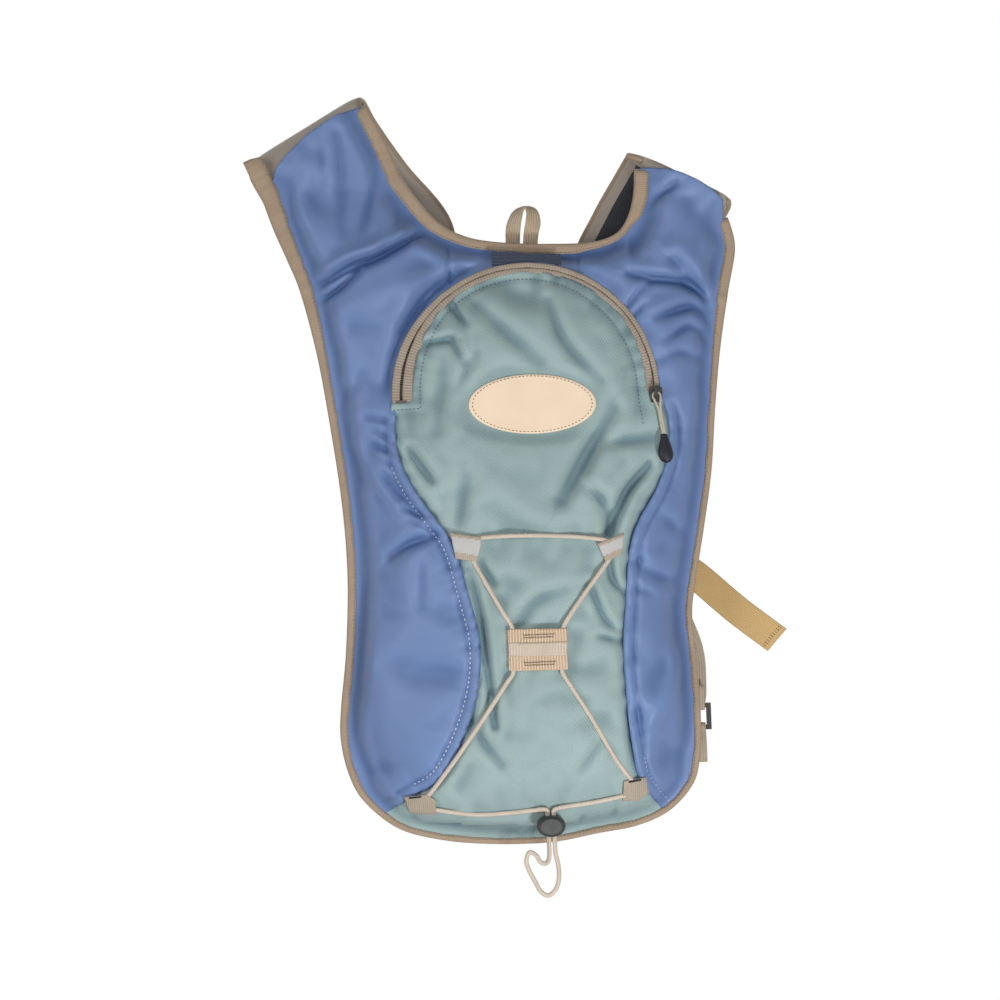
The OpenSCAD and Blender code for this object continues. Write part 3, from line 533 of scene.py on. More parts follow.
def loft(name, line, sections, **rest):
    """A piece that runs through one section after another."""
    m, n = len(sections), len(sections[0])
    faces = []
    for a in range(0, (m - 1) * n, n):
        for k in range(n):
            q = (k + 1) % n
            faces.append((a + k, a + q, a + n + q, a + n + k))
    faces.append(tuple(range(n - 1, -1, -1)))
    faces.append(tuple(range((m - 1) * n, m * n)))
    uv = np.stack([np.repeat(run_of(line), n),
                   np.tile(run_of(sections[m // 2]), m)], 1)
    return make(name, np.concatenate(sections), faces, across=uv, **rest)


def tube(name, line, r, n, **rest):
    """A round cord along a line, made without twist."""
    t = ways(line)
    side = np.cross(t[0], (0, 1, 0) if abs(t[0][1]) < 0.9 else (1, 0, 0))
    a = turns(n)[:, None]
    sections = []
    for p, d in zip(line, t):
        side = side - d * (side @ d)
        side /= np.linalg.norm(side)
        sections.append(p + r * (np.cos(a) * side
                                 + np.sin(a) * np.cross(d, side)))
    return loft(name, line, sections, **rest)


def pillow_section(half, thick, n, power):
    """A closed flat oval with full edges: across -1..1, height in mm."""
    a = turns(n)
    c, s = np.cos(a), np.sin(a)
    edge = min(0.9, thick / half)
    w = (1 - edge) * np.sign(c) * np.abs(c) ** 0.35 + edge * c
    h = thick * np.sign(s) * np.abs(s) ** power
    return np.stack([w, h], 1)


def tape_section(width, y0, y1, n=18):
    """Rounded cross-section of a folded tape: inward distance and y."""
    a = turns(n)
    c, s = np.cos(a), np.sin(a)
    w = width / 2 - width / 2 * np.sign(c) * np.abs(c) ** 0.55
    mid, half = (y0 + y1) / 2, (y1 - y0) / 2
    return np.stack([w, mid - half * np.sign(s) * np.abs(s) ** 0.6], 1)


def tracks(stations, steps):
    """Smooth centres and half widths of a strip's stations."""
    return [smooth([s[k] for s in stations], steps) for k in (0, 1)]


def square_to(d, w):
    """The unit direction square to two others."""
    up = np.cross(d, w)
    return up / np.linalg.norm(up)


def belt(name, stations, thick, n=20, steps=2, power=0.4, **rest):
    """A flat strip along stations of a centre and a half width."""
    c, w = tracks(stations, steps)
    sections = []
    for p, half, d in zip(c, w, ways(c)):
        q = pillow_section(np.linalg.norm(half), thick, n, power)
        sections.append(p + q[:, :1] * half + q[:, 1:] * square_to(d, half))
    return loft(name, c, sections, **rest)


def cells(ring, step):
    """Grid points and faces within a ring, and the points on its rim."""
    ring = np.asarray(ring, float)
    lo, hi = ring.min(0) - step, ring.max(0) + step
    x, z = np.meshgrid(np.arange(lo[0], hi[0] + step, step),
                       np.arange(lo[1], hi[1] + step, step))
    loop = np.vstack([ring, ring[:1]])
    inn = inside(x, z, ring) | (nearest(x, z, loop)[0] < 0.5 * step)
    nx = x.shape[1]
    faces = []
    for j, i in np.argwhere(inn[:-1, :-1] | inn[1:, :-1] | inn[:-1, 1:]
                            | inn[1:, 1:]):
        c = [(j, i), (j, i + 1), (j + 1, i + 1), (j + 1, i)]
        keep = [a * nx + b for a, b in c if inn[a, b]]
        if len(keep) >= 3:
            faces.append(tuple(keep))
    used = sorted({v for f in faces for v in f})
    new = {v: i for i, v in enumerate(used)}
    faces = [tuple(new[v] for v in f) for f in faces]
    open_edges = set()
    for f in faces:
        for a, b in zip(f, f[1:] + f[:1]):
            if (b, a) in open_edges:
                open_edges.remove((b, a))
            else:
                open_edges.add((a, b))
    rim = sorted({v for e in open_edges for v in e})
    return x, z, np.array(used), faces, rim, sorted(open_edges)


def stand_out(x, used, h):
    """How far each point stands above (+) or below the cloth round it."""
    level, here = np.zeros(x.size), np.zeros(x.size)
    level[used], here[used] = h, 1

    def spread(a):
        a = a.reshape(x.shape)
        for axis in (0, 1, 0, 1):
            a = sum(np.roll(a, k, axis) for k in range(-3, 4))
        return a.ravel()[used]
    return h - spread(level) / spread(here)


def panel(name, ring, step, height, thick, **rest):
    """Cloth over the front within a ring, cut cleanly along its edge."""
    x, z, used, faces, rim, wall = cells(ring, step)
    px, pz = x.ravel()[used], z.ravel()[used]
    q = np.stack([px[rim], pz[rim]], 1)
    best = np.full(len(q), 1e9)
    at = q.copy()
    for a, b in pairs(ring):
        ab = b - a
        t = np.clip(((q - a) @ ab) / max(ab @ ab, 1e-9), 0, 1)
        foot = a + t[:, None] * ab
        dist = np.linalg.norm(q - foot, axis=1)
        near = dist < best
        best[near], at[near] = dist[near], foot[near]
    px[rim], pz[rim] = at[:, 0], at[:, 1]
    y = -height(px, pz)
    # the back layer, turned round, and the rim between them
    n = len(used)
    points = np.concatenate([np.stack([px, y, pz], 1),
                             np.stack([px, y + thick, pz], 1)])
    back = [tuple(v + n for v in reversed(f)) for f in faces]
    side = [(b, a, a + n, b + n) for a, b in wall]
    piece = make(name, points, faces + back + side, **rest)
    # the fold attribute sets where the finishes paint shade: only real folds
    # count, not the roll of the cloth at its rim
    edge = nearest(px, pz, BODY_PATH)[0]
    fold = stand_out(x, used, -y) * ease((edge - 4) / 14)
    layer = piece.data.attributes.new("fold", "FLOAT", "POINT")
    layer.data.foreach_set("value", np.tile(fold, 2).astype(np.float32))
    return piece


def settle(key, ring, height, held=None):
    """Lets a coarse copy of a slack cloth puff out between its seams."""
    x, z, used, faces, rim, _ = cells(ring, SIM_GAP)
    px, pz = x.ravel()[used], z.ravel()[used]
    points = np.stack([px, -height(px, pz), pz], 1)
    mesh = new_mesh(key + "_soft", points, faces)
    soft = add_object(key + "_soft", mesh)
    pins = soft.vertex_groups.new(name="held")
    pins.add(rim, 1.0, "REPLACE")
    if held is not None:
        grip = held(px, pz)
        for i in np.nonzero(grip > 0.02)[0]:
            pins.add([int(i)], float(grip[i]), "ADD")
    puff = soft.modifiers.new("Settle", "CLOTH")
    puff.point_cache.frame_start, puff.point_cache.frame_end = 1, SIM_FRAMES
    puff.collision_settings.use_collision = False
    for name, value in SIM_FEEL.items():
        setattr(puff.settings, name, value)
    puff.settings.effector_weights.gravity = 0
    scene = bpy.context.scene
    for frame_number in range(1, SIM_FRAMES + 1):
        scene.frame_set(frame_number)
    seen = soft.evaluated_get(bpy.context.evaluated_depsgraph_get())
    now = np.empty(3 * len(points))
    seen.to_mesh().vertices.foreach_get("co", now)
    out = (points[:, 1] * MM - now.reshape(-1, 3)[:, 1]) / MM
    seen.to_mesh_clear()
    scene.frame_set(1)
    bpy.data.objects.remove(soft)
    bpy.data.meshes.remove(mesh)
    moves = np.zeros(x.size)
    moves[used] = SIM_LIMIT * np.tanh(out / SIM_LIMIT)
    moves = moves.reshape(x.shape)
    wide = np.pad(moves, 1)
    moves = 0.5 * moves + 0.125 * (wide[:-2, 1:-1] + wide[2:, 1:-1]
                                   + wide[1:-1, :-2] + wide[1:-1, 2:])
    SETTLED[key] = (x[0, 0], z[0, 0], moves)


# how far the simulated cloths moved, filled in as each one is made
SETTLED = {}


def settled(key, x, z):
    """How far the settled cloth stands out at each place."""
    if key not in SETTLED:
        return 0.0
    x0, z0, moves = SETTLED[key]
    u = np.clip((x - x0) / SIM_GAP, 1, moves.shape[1] - 3.001)
    v = np.clip((z - z0) / SIM_GAP, 1, moves.shape[0] - 3.001)
    i, j = np.floor(u).astype(int), np.floor(v).astype(int)
    out = 0.0
    for a, wa in enumerate(spline_weights(u - i), -1):
        for b, wb in enumerate(spline_weights(v - j), -1):
            out = out + wa * wb * moves[j + b, i + a]
    return out


def spline_weights(t):
    return ((1 - t) ** 3 / 6, (3 * t ** 3 - 6 * t * t + 4) / 6,
            (3 * (t + t * t - t ** 3) + 1) / 6, t ** 3 / 6)


# ---- finishes ----
class Nodes:
    """Adds nodes to one tree."""

    def __init__(self, tree):
        self.tree = tree

    def add(self, kind, inputs=None, **settings):
        """A node of a kind: its settings, then its values or links."""
        new = self.tree.nodes.new(
            kind if "Node" in kind else "ShaderNode" + kind)
        for key, value in settings.items():
            setattr(new, key, value)
        for key, value in (inputs or {}).items():
            self.put(value, new.inputs[key])
        return new

    def put(self, value, socket):
        value = getattr(value, "socket", value)
        if isinstance(value, bpy.types.NodeSocket):
            self.tree.links.new(value, socket)
        else:
            socket.default_value = value

    def value(self, kind, out, inputs=None, **settings):
        return Value(self, self.add(kind, inputs, **settings).outputs[out])

    def ramp(self, value, a, b, low=0.0, high=1.0, **settings):
        """A value taken from the range a to b into low to high."""
        return self.value("MapRange", 0, {0: value, 1: a, 2: b, 3: low,
                                          4: high}, **settings)

    def blend(self, share, a, b):
        """One colour going over into another."""
        return self.value("Mix", 2, {0: share, 6: a, 7: b},
                          data_type="RGBA")


class Value:
    """A number that a node gives: sums with it add Math nodes."""

    def __init__(self, nodes, socket):
        self.nodes, self.socket = nodes, socket

    def math(self, how, a, b):
        return self.nodes.value("Math", 0, {0: a, 1: b}, operation=how)

    def __add__(self, b):
        return self.math("ADD", self, b)

    def __radd__(self, a):
        return self.math("ADD", a, self)

    def __mul__(self, b):
        return self.math("MULTIPLY", self, b)

    def __rmul__(self, a):
        return self.math("MULTIPLY", a, self)

    def highest(self, b):
        return self.math("MAXIMUM", self, b)


RIDGE = 0.31416  # width of one ridge of a wave texture


def bands(nodes, coords, pitch, way="X", soft=0.0):
    """Even ridges: 0 to 1, one ridge each pitch, in metres."""
    return nodes.value("TexWave", "Fac", {
        "Vector": coords, "Scale": RIDGE / pitch, "Distortion": soft,
        "Detail": 1.0, "Detail Scale": 0.6}, wave_type="BANDS",
        bands_direction=way, wave_profile="SIN")


RIBS = {"ribs": "X", "ribs across": "Y"}


def relief(nodes, weave, pitch, turn, place, lay):
    """The height pattern of one kind of weave, 0 to 1."""
    if weave == "plain":
        return bands(nodes, place, pitch) * bands(nodes, place, pitch, "Z")
    if weave == "twill":
        spun = nodes.value("Mapping", 0, {
            "Vector": place, "Rotation": (0, turn, 0)})
        return bands(nodes, spun, pitch, "X", 0.6)
    if weave in RIBS:
        return bands(nodes, lay, pitch, RIBS[weave], 0.3)
    if weave == "upright ribs":
        return bands(nodes, place, pitch, "X", 0.3)
    if weave == "braid":
        one, other = (nodes.value("Mapping", 0, {
            "Vector": lay, "Rotation": (0, 0, a)}) for a in (0.7, -0.7))
        return bands(nodes, one, pitch) * bands(nodes, other, pitch)
    return nodes.value("TexVoronoi", "Distance", {
        "Vector": place, "Scale": 1 / pitch, "Randomness": 0.25})


def cloth(name, colour, dark, rough=0.7, sheen=0.0, weave=None, pitch=0.0006,
          depth=0.0001, blotch=0.02, fine=0.0, specular=0.5, metallic=0.0,
          turn=0.0, contrast=0.0, deep=None):
    """A woven, ribbed or moulded finish with uneven colour, and with painted
    shade in its folds where a deep colour is given.
    """
    mat = bpy.data.materials.new(name + "_finish")
    mat.use_nodes = True
    nodes = Nodes(mat.node_tree)
    skin = mat.node_tree.nodes["Principled BSDF"].inputs
    for key, value in (("Sheen Weight", sheen), ("Sheen Roughness", 0.5),
                       ("Specular IOR Level", specular),
                       ("Metallic", metallic)):
        nodes.put(value, skin[key])
    place = nodes.value("TexCoord", "Object")
    lay = nodes.value("UVMap", "UV", uv_map="lay")
    cloud = nodes.value("TexNoise", "Fac", {
        "Vector": place, "Scale": 1 / blotch, "Detail": 4.0,
        "Roughness": 0.55})
    tint = nodes.ramp(cloud, 0.25, 0.75)
    grain = nodes.value("TexNoise", "Fac", {
        "Vector": place, "Scale": 2500.0, "Detail": 2.0})
    height = grain
    if weave:
        height = relief(nodes, weave, pitch, turn, place, lay)
        if contrast:
            tint = nodes.value("Mix", 0, {0: contrast, 2: tint, 3: height})
    shade = nodes.blend(tint, (*dark, 1), (*colour, 1))
    if deep:
        # painted shade: the cloth is darkened towards the deep colour down in
        # its folds
        fold = nodes.value("Attribute", "Fac", attribute_name="fold")
        shade = nodes.blend(nodes.ramp(fold, 0.2, -1.7, 0.0, 0.8), shade,
                            (*deep, 1))
    if fine:
        height = height + grain * fine
    nodes.put(shade, skin["Base Color"])
    nodes.put(nodes.value("Bump", 0, {
        "Height": height, "Distance": depth, "Strength": 0.9}),
        skin["Normal"])
    nodes.put(nodes.ramp(cloud, 0.3, 0.7, min(1, rough + 0.06),
                         max(0, rough - 0.06)), skin["Roughness"])


# colour, or the name of one that a user may change; its darker
# shade, or what share of it that is; then the rest of the look
FINISHES = [
    # deep is the painted shade mixed into the cloth down in its folds
    ("blue_nylon", "blue", 0.84,
     dict(rough=0.42, specular=0.28, weave="plain", pitch=0.0007,
          depth=0.00006, blotch=0.07, contrast=0.12,
          deep=(0.045, 0.095, 0.240))),
    ("teal_twill", "teal", 0.84,
     dict(rough=0.6, specular=0.25, weave="twill", pitch=0.0016, depth=0.00015,
          blotch=0.06, turn=math.radians(32), contrast=0.35,
          deep=(0.110, 0.190, 0.225))),
    ("lining_cloth", (0.3, 0.36, 0.37), (0.25, 0.3, 0.31),
     dict(weave="plain", pitch=0.0008)),
    ("back_foam", (0.045, 0.052, 0.066), (0.035, 0.04, 0.05),
     dict(rough=0.85, depth=0.0002)),
    ("air_mesh", (0.030, 0.033, 0.042), (0.008, 0.009, 0.012),
     dict(rough=0.8, weave="holes", pitch=0.0018, depth=0.0008, contrast=0.8)),
    ("pad_mesh", (0.034, 0.037, 0.047), (0.010, 0.011, 0.014),
     dict(rough=0.8, weave="holes", pitch=0.0024, depth=0.001, contrast=0.8)),
    ("binding_tape", "binding", 0.8,
     dict(rough=0.75, sheen=0.2, weave="ribs", pitch=0.0013, depth=0.00016,
          blotch=0.025, contrast=0.3)),
    ("loop_webbing", (0.48, 0.38, 0.27), (0.33, 0.26, 0.18),
     dict(rough=0.75, weave="ribs across", pitch=0.0015, depth=0.0003,
          blotch=0.01, contrast=0.5)),
    # painted shade: the hook patch is coloured dark navy to stand in for the
    # shadow between the neck tape and the zip
    ("hook_patch", (0.075, 0.095, 0.145), (0.022, 0.03, 0.05),
     dict(rough=0.9, weave="holes", pitch=0.0013, depth=0.0008, contrast=0.8)),
    ("label_cloth", "label", 0.93,
     dict(rough=0.5, weave="plain", pitch=0.0009, depth=0.00005, blotch=0.02)),
    ("zip_tape", "zip_tape", 0.62,
     dict(rough=0.7, weave="ribs", pitch=0.0019, depth=0.0003, blotch=0.02,
          contrast=0.45)),
    ("zip_teeth", (0.10, 0.09, 0.078), (0.06, 0.054, 0.046),
     dict(rough=0.4)),
    ("slider_metal", (0.05, 0.048, 0.045), (0.02, 0.02, 0.02),
     dict(rough=0.32, metallic=0.85, blotch=0.004, depth=0.00004)),
    ("pull_cord", (0.62, 0.55, 0.45), (0.44, 0.39, 0.31),
     dict(rough=0.8, weave="braid", pitch=0.0009, depth=0.0002, contrast=0.6)),
    ("pull_tip", (0.014, 0.016, 0.024), (0.009, 0.010, 0.015),
     dict(rough=0.45, specular=0.25, fine=0.4, depth=0.00003)),
    ("cord_tab", (0.50, 0.49, 0.47), (0.43, 0.42, 0.41),
     dict(rough=0.45, weave="plain", pitch=0.0011, depth=0.00008,
          contrast=0.3)),
    ("anchor_ribbon", (0.45, 0.38, 0.30), (0.33, 0.28, 0.22),
     dict(rough=0.75, weave="upright ribs", pitch=0.0014, depth=0.0002,
          contrast=0.4)),
    ("keeper_ribbon", (0.80, 0.60, 0.43), (0.42, 0.305, 0.21),
     dict(rough=0.75, weave="upright ribs", pitch=0.0019, depth=0.0005,
          blotch=0.02, contrast=0.85)),
    ("reflector_band", (0.52, 0.43, 0.33), (0.44, 0.365, 0.285),
     dict(rough=0.35, weave="upright ribs", pitch=0.0019, depth=0.0001,
          blotch=0.012, contrast=0.25)),
    ("shock_cord", "cord", 0.76,
     dict(rough=0.75, weave="braid", pitch=0.0011, depth=0.0003, blotch=0.01,
          contrast=0.5)),
    ("lock_barrel", (0.024, 0.025, 0.026), (0.014, 0.015, 0.016),
     dict(rough=0.45, fine=1.0, depth=0.00004, blotch=0.006)),
    ("lock_plunger", (0.12, 0.118, 0.108), (0.08, 0.078, 0.07),
     dict(rough=0.5, fine=1.0, depth=0.00004, blotch=0.006)),
    ("spring_wire", (0.55, 0.55, 0.56), (0.45, 0.45, 0.46),
     dict(rough=0.3, metallic=1.0)),
    ("strap_nylon", (0.41, 0.355, 0.300), (0.34, 0.29, 0.245),
     dict(rough=0.6, sheen=0.2, weave="plain", pitch=0.0008, depth=0.00006,
          blotch=0.04, contrast=0.1)),
    ("webbing", (0.46, 0.38, 0.29), (0.34, 0.28, 0.21),
     dict(rough=0.75, weave="ribs across", pitch=0.0017, depth=0.0003,
          contrast=0.5)),
    ("tail_webbing", "webbing", 0.82,
     dict(rough=0.75, weave="ribs across", pitch=0.0016, depth=0.0003,
          blotch=0.03, contrast=0.5)),
    ("buckle_plastic", (0.020, 0.020, 0.020), (0.012, 0.012, 0.012),
     dict(rough=0.45, specular=0.3, fine=1.0, depth=0.00003, blotch=0.01)),
    ("reservoir_film", (0.35, 0.45, 0.55), (0.30, 0.41, 0.52),
     dict(rough=0.2, depth=0.0002)),
    ("port_plastic", (0.72, 0.76, 0.78), (0.66, 0.7, 0.73),
     dict(rough=0.35)),
    ("cap_plastic", (0.03, 0.11, 0.32), (0.02, 0.08, 0.26),
     dict(rough=0.35, fine=1.0, depth=0.00004)),
    ("gasket_rubber", (0.045, 0.045, 0.045), (0.03, 0.03, 0.03),
     dict(rough=0.8)),
    ("tether_rubber", (0.09, 0.10, 0.11), (0.07, 0.08, 0.085),
     dict(rough=0.6)),
    ("white_thread", (0.75, 0.74, 0.70), (0.6, 0.59, 0.56),
     dict(rough=0.7)),
    ("dark_thread", (0.10, 0.13, 0.15), (0.06, 0.08, 0.10),
     dict(rough=0.7)),
    ("brown_thread", (0.14, 0.10, 0.07), (0.09, 0.065, 0.045),
     dict(rough=0.7)),
    ("binding_thread", (0.30, 0.24, 0.20), (0.22, 0.17, 0.14),
     dict(rough=0.7)),
]


def all_finishes(colours):
    for name, colour, dark, look in FINISHES:
        if isinstance(colour, str):
            colour = getattr(colours, colour)
            dark = np.array(colour) * dark
        cloth(name, colour, dark, **look)


# ---- repeats: one bead set at each point, lined up with its seam ----
def bead_tree():
    """Geometry nodes that set a small rounded bead on every point."""
    tree = bpy.data.node_groups.new("BeadsOnPoints", "GeometryNodeTree")
    for name, way, kind in (
            ("Geometry", "INPUT", "Geometry"), ("Length", "INPUT", "Float"),
            ("Width", "INPUT", "Float"), ("Height", "INPUT", "Float"),
            ("Finish", "INPUT", "Material"),
            ("Geometry", "OUTPUT", "Geometry")):
        tree.interface.new_socket(name, in_out=way,
                                  socket_type="NodeSocket" + kind)
    nodes = Nodes(tree)
    start = nodes.add("NodeGroupInput").outputs
    bead = nodes.add("GeometryNodeMeshUVSphere", {
        "Segments": 6, "Rings": 4, "Radius": 0.5}).outputs["Mesh"]
    size = nodes.add("CombineXYZ", {
        "X": start["Length"], "Y": start["Width"], "Z": start["Height"]})
    turn = {}
    for name, axis, pivot in (("along", "X", "AUTO"), ("up", "Z", "X")):
        read = nodes.add("GeometryNodeInputNamedAttribute", {"Name": name},
                         data_type="FLOAT_VECTOR")
        align = nodes.add("FunctionNodeAlignRotationToVector", {
            "Vector": read.outputs["Attribute"], **turn},
            axis=axis, pivot_axis=pivot)
        turn = {"Rotation": align.outputs[0]}
    put = nodes.add("GeometryNodeInstanceOnPoints", {
        "Points": start["Geometry"], "Instance": bead,
        "Scale": size.outputs[0], **turn})
    real = nodes.add("GeometryNodeRealizeInstances", {0: put.outputs[0]})
    coat = nodes.add("GeometryNodeSetMaterial", {
        "Geometry": real.outputs[0], "Material": start["Finish"]})
    nodes.add("NodeGroupOutput", {0: coat.outputs[0]})
    return tree


def beads(name, points, along, size, finish, up=(0, -1.0, 0), body="pack",
          slot=None, replaces=()):
    """A row of stitches, teeth or ribs as one plain mesh."""
    tree = bpy.data.node_groups.get("BeadsOnPoints") or bead_tree()
    mesh = new_mesh(name, points, [])
    for key, data in (("along", along), ("up", up)):
        a = mesh.attributes.new(key, "FLOAT_VECTOR", "POINT")
        a.data.foreach_set("vector", np.broadcast_to(
            np.asarray(data, np.float32), (len(points), 3)).ravel())
    seed = add_object(name + "_points", mesh)
    mod = seed.modifiers.new("Beads", "NODES")
    mod.node_group = tree
    ids = {s.name: s.identifier for s in tree.interface.items_tree
           if s.in_out == "INPUT"}
    for key, value in zip(("Length", "Width", "Height"), size):
        mod[ids[key]] = value * MM
    mod[ids["Finish"]] = finish_of(finish)
    bpy.context.view_layer.update()
    seen = seed.evaluated_get(bpy.context.evaluated_depsgraph_get())
    plain = bpy.data.meshes.new_from_object(seen)
    bpy.data.objects.remove(seed)
    bpy.data.meshes.remove(mesh)
    plain.name = name
    return enlist(name, plain, body, replaces)


def on_skin(line, height, lift):
    """Points over the cloth, with the surface's outward directions."""
    p = np.asarray(line, float)
    x, z = p[:, 0], p[:, 1]
    e = 0.8
    h = height(x, z)
    gx = (height(x + e, z) - height(x - e, z)) / (2 * e)
    gz = (height(x, z + e) - height(x, z - e)) / (2 * e)
    up = np.stack([-gx, -np.ones_like(gx), -gz], 1)
    up /= np.linalg.norm(up, axis=1, keepdims=True)
    return np.stack([x, -h, z], 1) + lift * up, up


def skin_beads(name, line, height, lift, size, finish, **rest):
    """Beads along a line over the cloth."""
    points, up = on_skin(line, height, lift)
    return beads(name, points, ways(points), size, finish, up=up, **rest)


def stitch_row(name, line, height, gap, length, width, finish, **rest):
    return skin_beads(name, spaced(line, gap)[0], height, 0.15,
                      (length, width, 0.5), finish, **rest)


# ---- sizes and colours that a user may change ----
def length_prop(name, description, value):
    return bpy.props.FloatProperty(
        name=name, description=description, default=value, subtype="DISTANCE",
        unit="LENGTH", min=0.0)


def colour_prop(name, description, value):
    return bpy.props.FloatVectorProperty(
        name=name, description=description, default=value, subtype="COLOR",
        size=3, min=0.0, max=1.0)


class PackSizes(bpy.types.PropertyGroup):
    cloth_step: length_prop("Cloth Step", "Spacing of the cloth's mesh",
                            0.0015)
    padding: length_prop("Side Padding", "Thickness of the padded sides",
                         0.003)
    pocket_cloth: length_prop("Pocket Cloth", "Thickness of the pocket",
                              0.0016)
    stitch: length_prop("Stitch Length", "Length of one stitch", 0.0019)


class PackColours(bpy.types.PropertyGroup):
    blue: colour_prop("Blue Nylon", "Side and shoulder cloth",
                      (0.155, 0.238, 0.455))
    teal: colour_prop("Pocket Twill", "Pocket cloth", (0.325, 0.435, 0.435))
    binding: colour_prop("Binding", "Edge and neck tape",
                         (0.38, 0.280, 0.192))
    label: colour_prop("Label", "Bare oval label", (0.86, 0.68, 0.50))
    zip_tape: colour_prop("Zip Tape", "Tape of the pocket zip",
                          (0.40, 0.325, 0.255))
    cord: colour_prop("Shock Cord", "Elastic cord", (0.74, 0.63, 0.52))
    webbing: colour_prop("Webbing", "Free strap ends", (0.63, 0.415, 0.175))


class PackOperator:
    bl_options = {"REGISTER", "UNDO"}

    def execute(self, context):
        self.build(context.scene.pack_sizes, context.scene.pack_colours)
        return {"FINISHED"}


# ---- stage: places and sizes in metres, lamp powers in watts ----
FLOOR_R, FLOOR_Z, FLOOR_SIDES = 0.38, -0.92, 96
LAMP_AIM = (0, 0, -0.2)
LAMPS = {"lamp_key": ((0.42, -1.05, -0.86), 0.25, 9.5),
         "lamp_fill": ((-1.4, -1.3, 0.0), 1.0, 11),
         "lamp_front": ((0.1, -1.9, -0.2), 0.5, 8),
         "lamp_back": ((0.4, 1.6, 0.9), 1.4, 12)}
CAMERA_AT = (-0.0232, -1.82, -0.1912)
CAMERA_TILT = math.radians(2.35)
CAMERA_LENS, CAMERA_SENSOR = 97.2, 36.0


class PACK_OT_stage(PackOperator, bpy.types.Operator):
    """Set the floor, the lamps, the world and the camera"""
    bl_idname = "pack.stage"
    bl_label = "Stage"

    def build(self, sizes, colours):
        scene = bpy.context.scene
        scene.view_settings.view_transform = "Standard"
        self.camera(scene)
        self.world(scene)
        self.floor()
        for name, (at, size, power) in LAMPS.items():
            lamp = bpy.data.lights.new(name, "AREA")
            lamp.energy, lamp.size = power, size
            thing = add_object(name, lamp)
            thing.location = at
            look = Vector(LAMP_AIM) - Vector(at)
            thing.rotation_euler = look.to_track_quat("-Z", "Y").to_euler()

    def camera(self, scene):
        eye = bpy.data.cameras.new("camera")
        eye.lens, eye.sensor_width = CAMERA_LENS, CAMERA_SENSOR
        thing = add_object("camera", eye)
        thing.location = CAMERA_AT
        thing.rotation_mode = "QUATERNION"
        face = Vector((0, 1, 0)).to_track_quat("-Z", "Z")
        thing.rotation_quaternion = Quaternion((0, 1, 0),
                                               CAMERA_TILT) @ face
        scene.camera = thing

    def world(self, scene):
        """White to the eye, and a soft warm light on the pack."""
        world = bpy.data.worlds.new("studio")
        world.use_nodes = True
        tree = world.node_tree
        tree.nodes.clear()
        nodes = Nodes(tree)
        seen, glossy, through = (nodes.value("LightPath", f"Is {kind} Ray")
                                 for kind in ("Camera", "Glossy",
                                              "Transmission"))
        seen = seen.highest(glossy).highest(through)
        light = nodes.value("Background", 0, {
            "Color": (1, 0.99, 0.97, 1), "Strength": 0.21})
        white = nodes.value("Background", 0, {
            "Color": (1, 1, 1, 1), "Strength": 1.0})
        both = nodes.value("MixShader", 0, {0: seen, 1: light, 2: white})
        nodes.add("OutputWorld", {0: both})
        scene.world = world

    def floor(self):
        """A round pale floor that fades to white away from the pack."""
        mat = bpy.data.materials.new("floor_white")
        mat.use_nodes = True
        tree = mat.node_tree
        nodes = Nodes(tree)
        skin = tree.nodes["Principled BSDF"]
        nodes.put((0.9, 0.9, 0.9, 1), skin.inputs["Base Color"])
        nodes.put(0.9, skin.inputs["Roughness"])
        place = nodes.value("TexCoord", "Object")
        far = nodes.value("VectorMath", "Value", {0: place},
                          operation="LENGTH")
        fade = nodes.ramp(far, 0.12, 0.36, interpolation_type="SMOOTHSTEP")
        seen = nodes.value("LightPath", "Is Camera Ray")
        white = nodes.value("Emission", 0, {"Strength": 1.0})
        mix = nodes.value("MixShader", 0, {
            0: fade * seen, 1: skin.outputs[0], 2: white})
        nodes.put(mix, tree.nodes["Material Output"].inputs[0])
        n = FLOOR_SIDES
        points = [(0, 0, 0)] + [
            (FLOOR_R * math.cos(a), FLOOR_R * math.sin(a), 0)
            for a in turns(n)]
        faces = [(0, k + 1, (k + 1) % n + 1) for k in range(n)]
        mesh = bpy.data.meshes.new("floor")
        mesh.from_pydata(points, [], faces)
        mesh.materials.append(mat)
        thing = add_object("floor", mesh)
        thing.location = (0, 0, FLOOR_Z)


# ---- front bungee: x, z and extra lift along the laced cord ----
LACE = [(3.8, -399, 0), (5.4, -396.8, 2.6), (11, -395.8, 1), (30, -394, 0),
        (49, -391, 0), (58, -388.4, 0), (60.4, -385, 0), (57, -381, 0),
        (46, -365, 0.4), (30, -335, 0.8), (17, -313, 0.6), (12.6, -304, 0.3),
        (13, -290, 0.3), (14.8, -277, 0.3), (20, -268, 0.5), (32, -252, 0.6),
        (44, -237, 0.3), (50.4, -228, 0), (50.6, -223.2, 0),
        (45, -220.4, 0.2), (28, -217.6, 0.8), (6, -215.8, 1), (-16, -215, 1),
        (-34, -215.4, 0.3), (-43, -216.4, 0), (-46.4, -220, 0),
        (-43, -229, 0.2), (-36, -243, 0.5), (-26, -262, 0.6),
        (-18.4, -276, 0.3), (-17.6, -290, 0.3), (-19, -304, 0.3),
        (-25, -313, 0.6), (-42, -337, 0.8), (-62, -364, 0.4), (-77, -383, 0),
        (-83, -389.4, 0), (-80.6, -393, 0), (-70, -395.6, 0), (-48, -399, 0),
        (-26, -398.6, 0), (-10, -397.2, 1), (-2.4, -396.6, 2.6),
        (-0.2, -399, 0)]
LACE_END = -399  # height at which the cord goes into its lock
LOCK_Y = -cell_height(0, LACE_END) - CORD_LIFT - 3.4
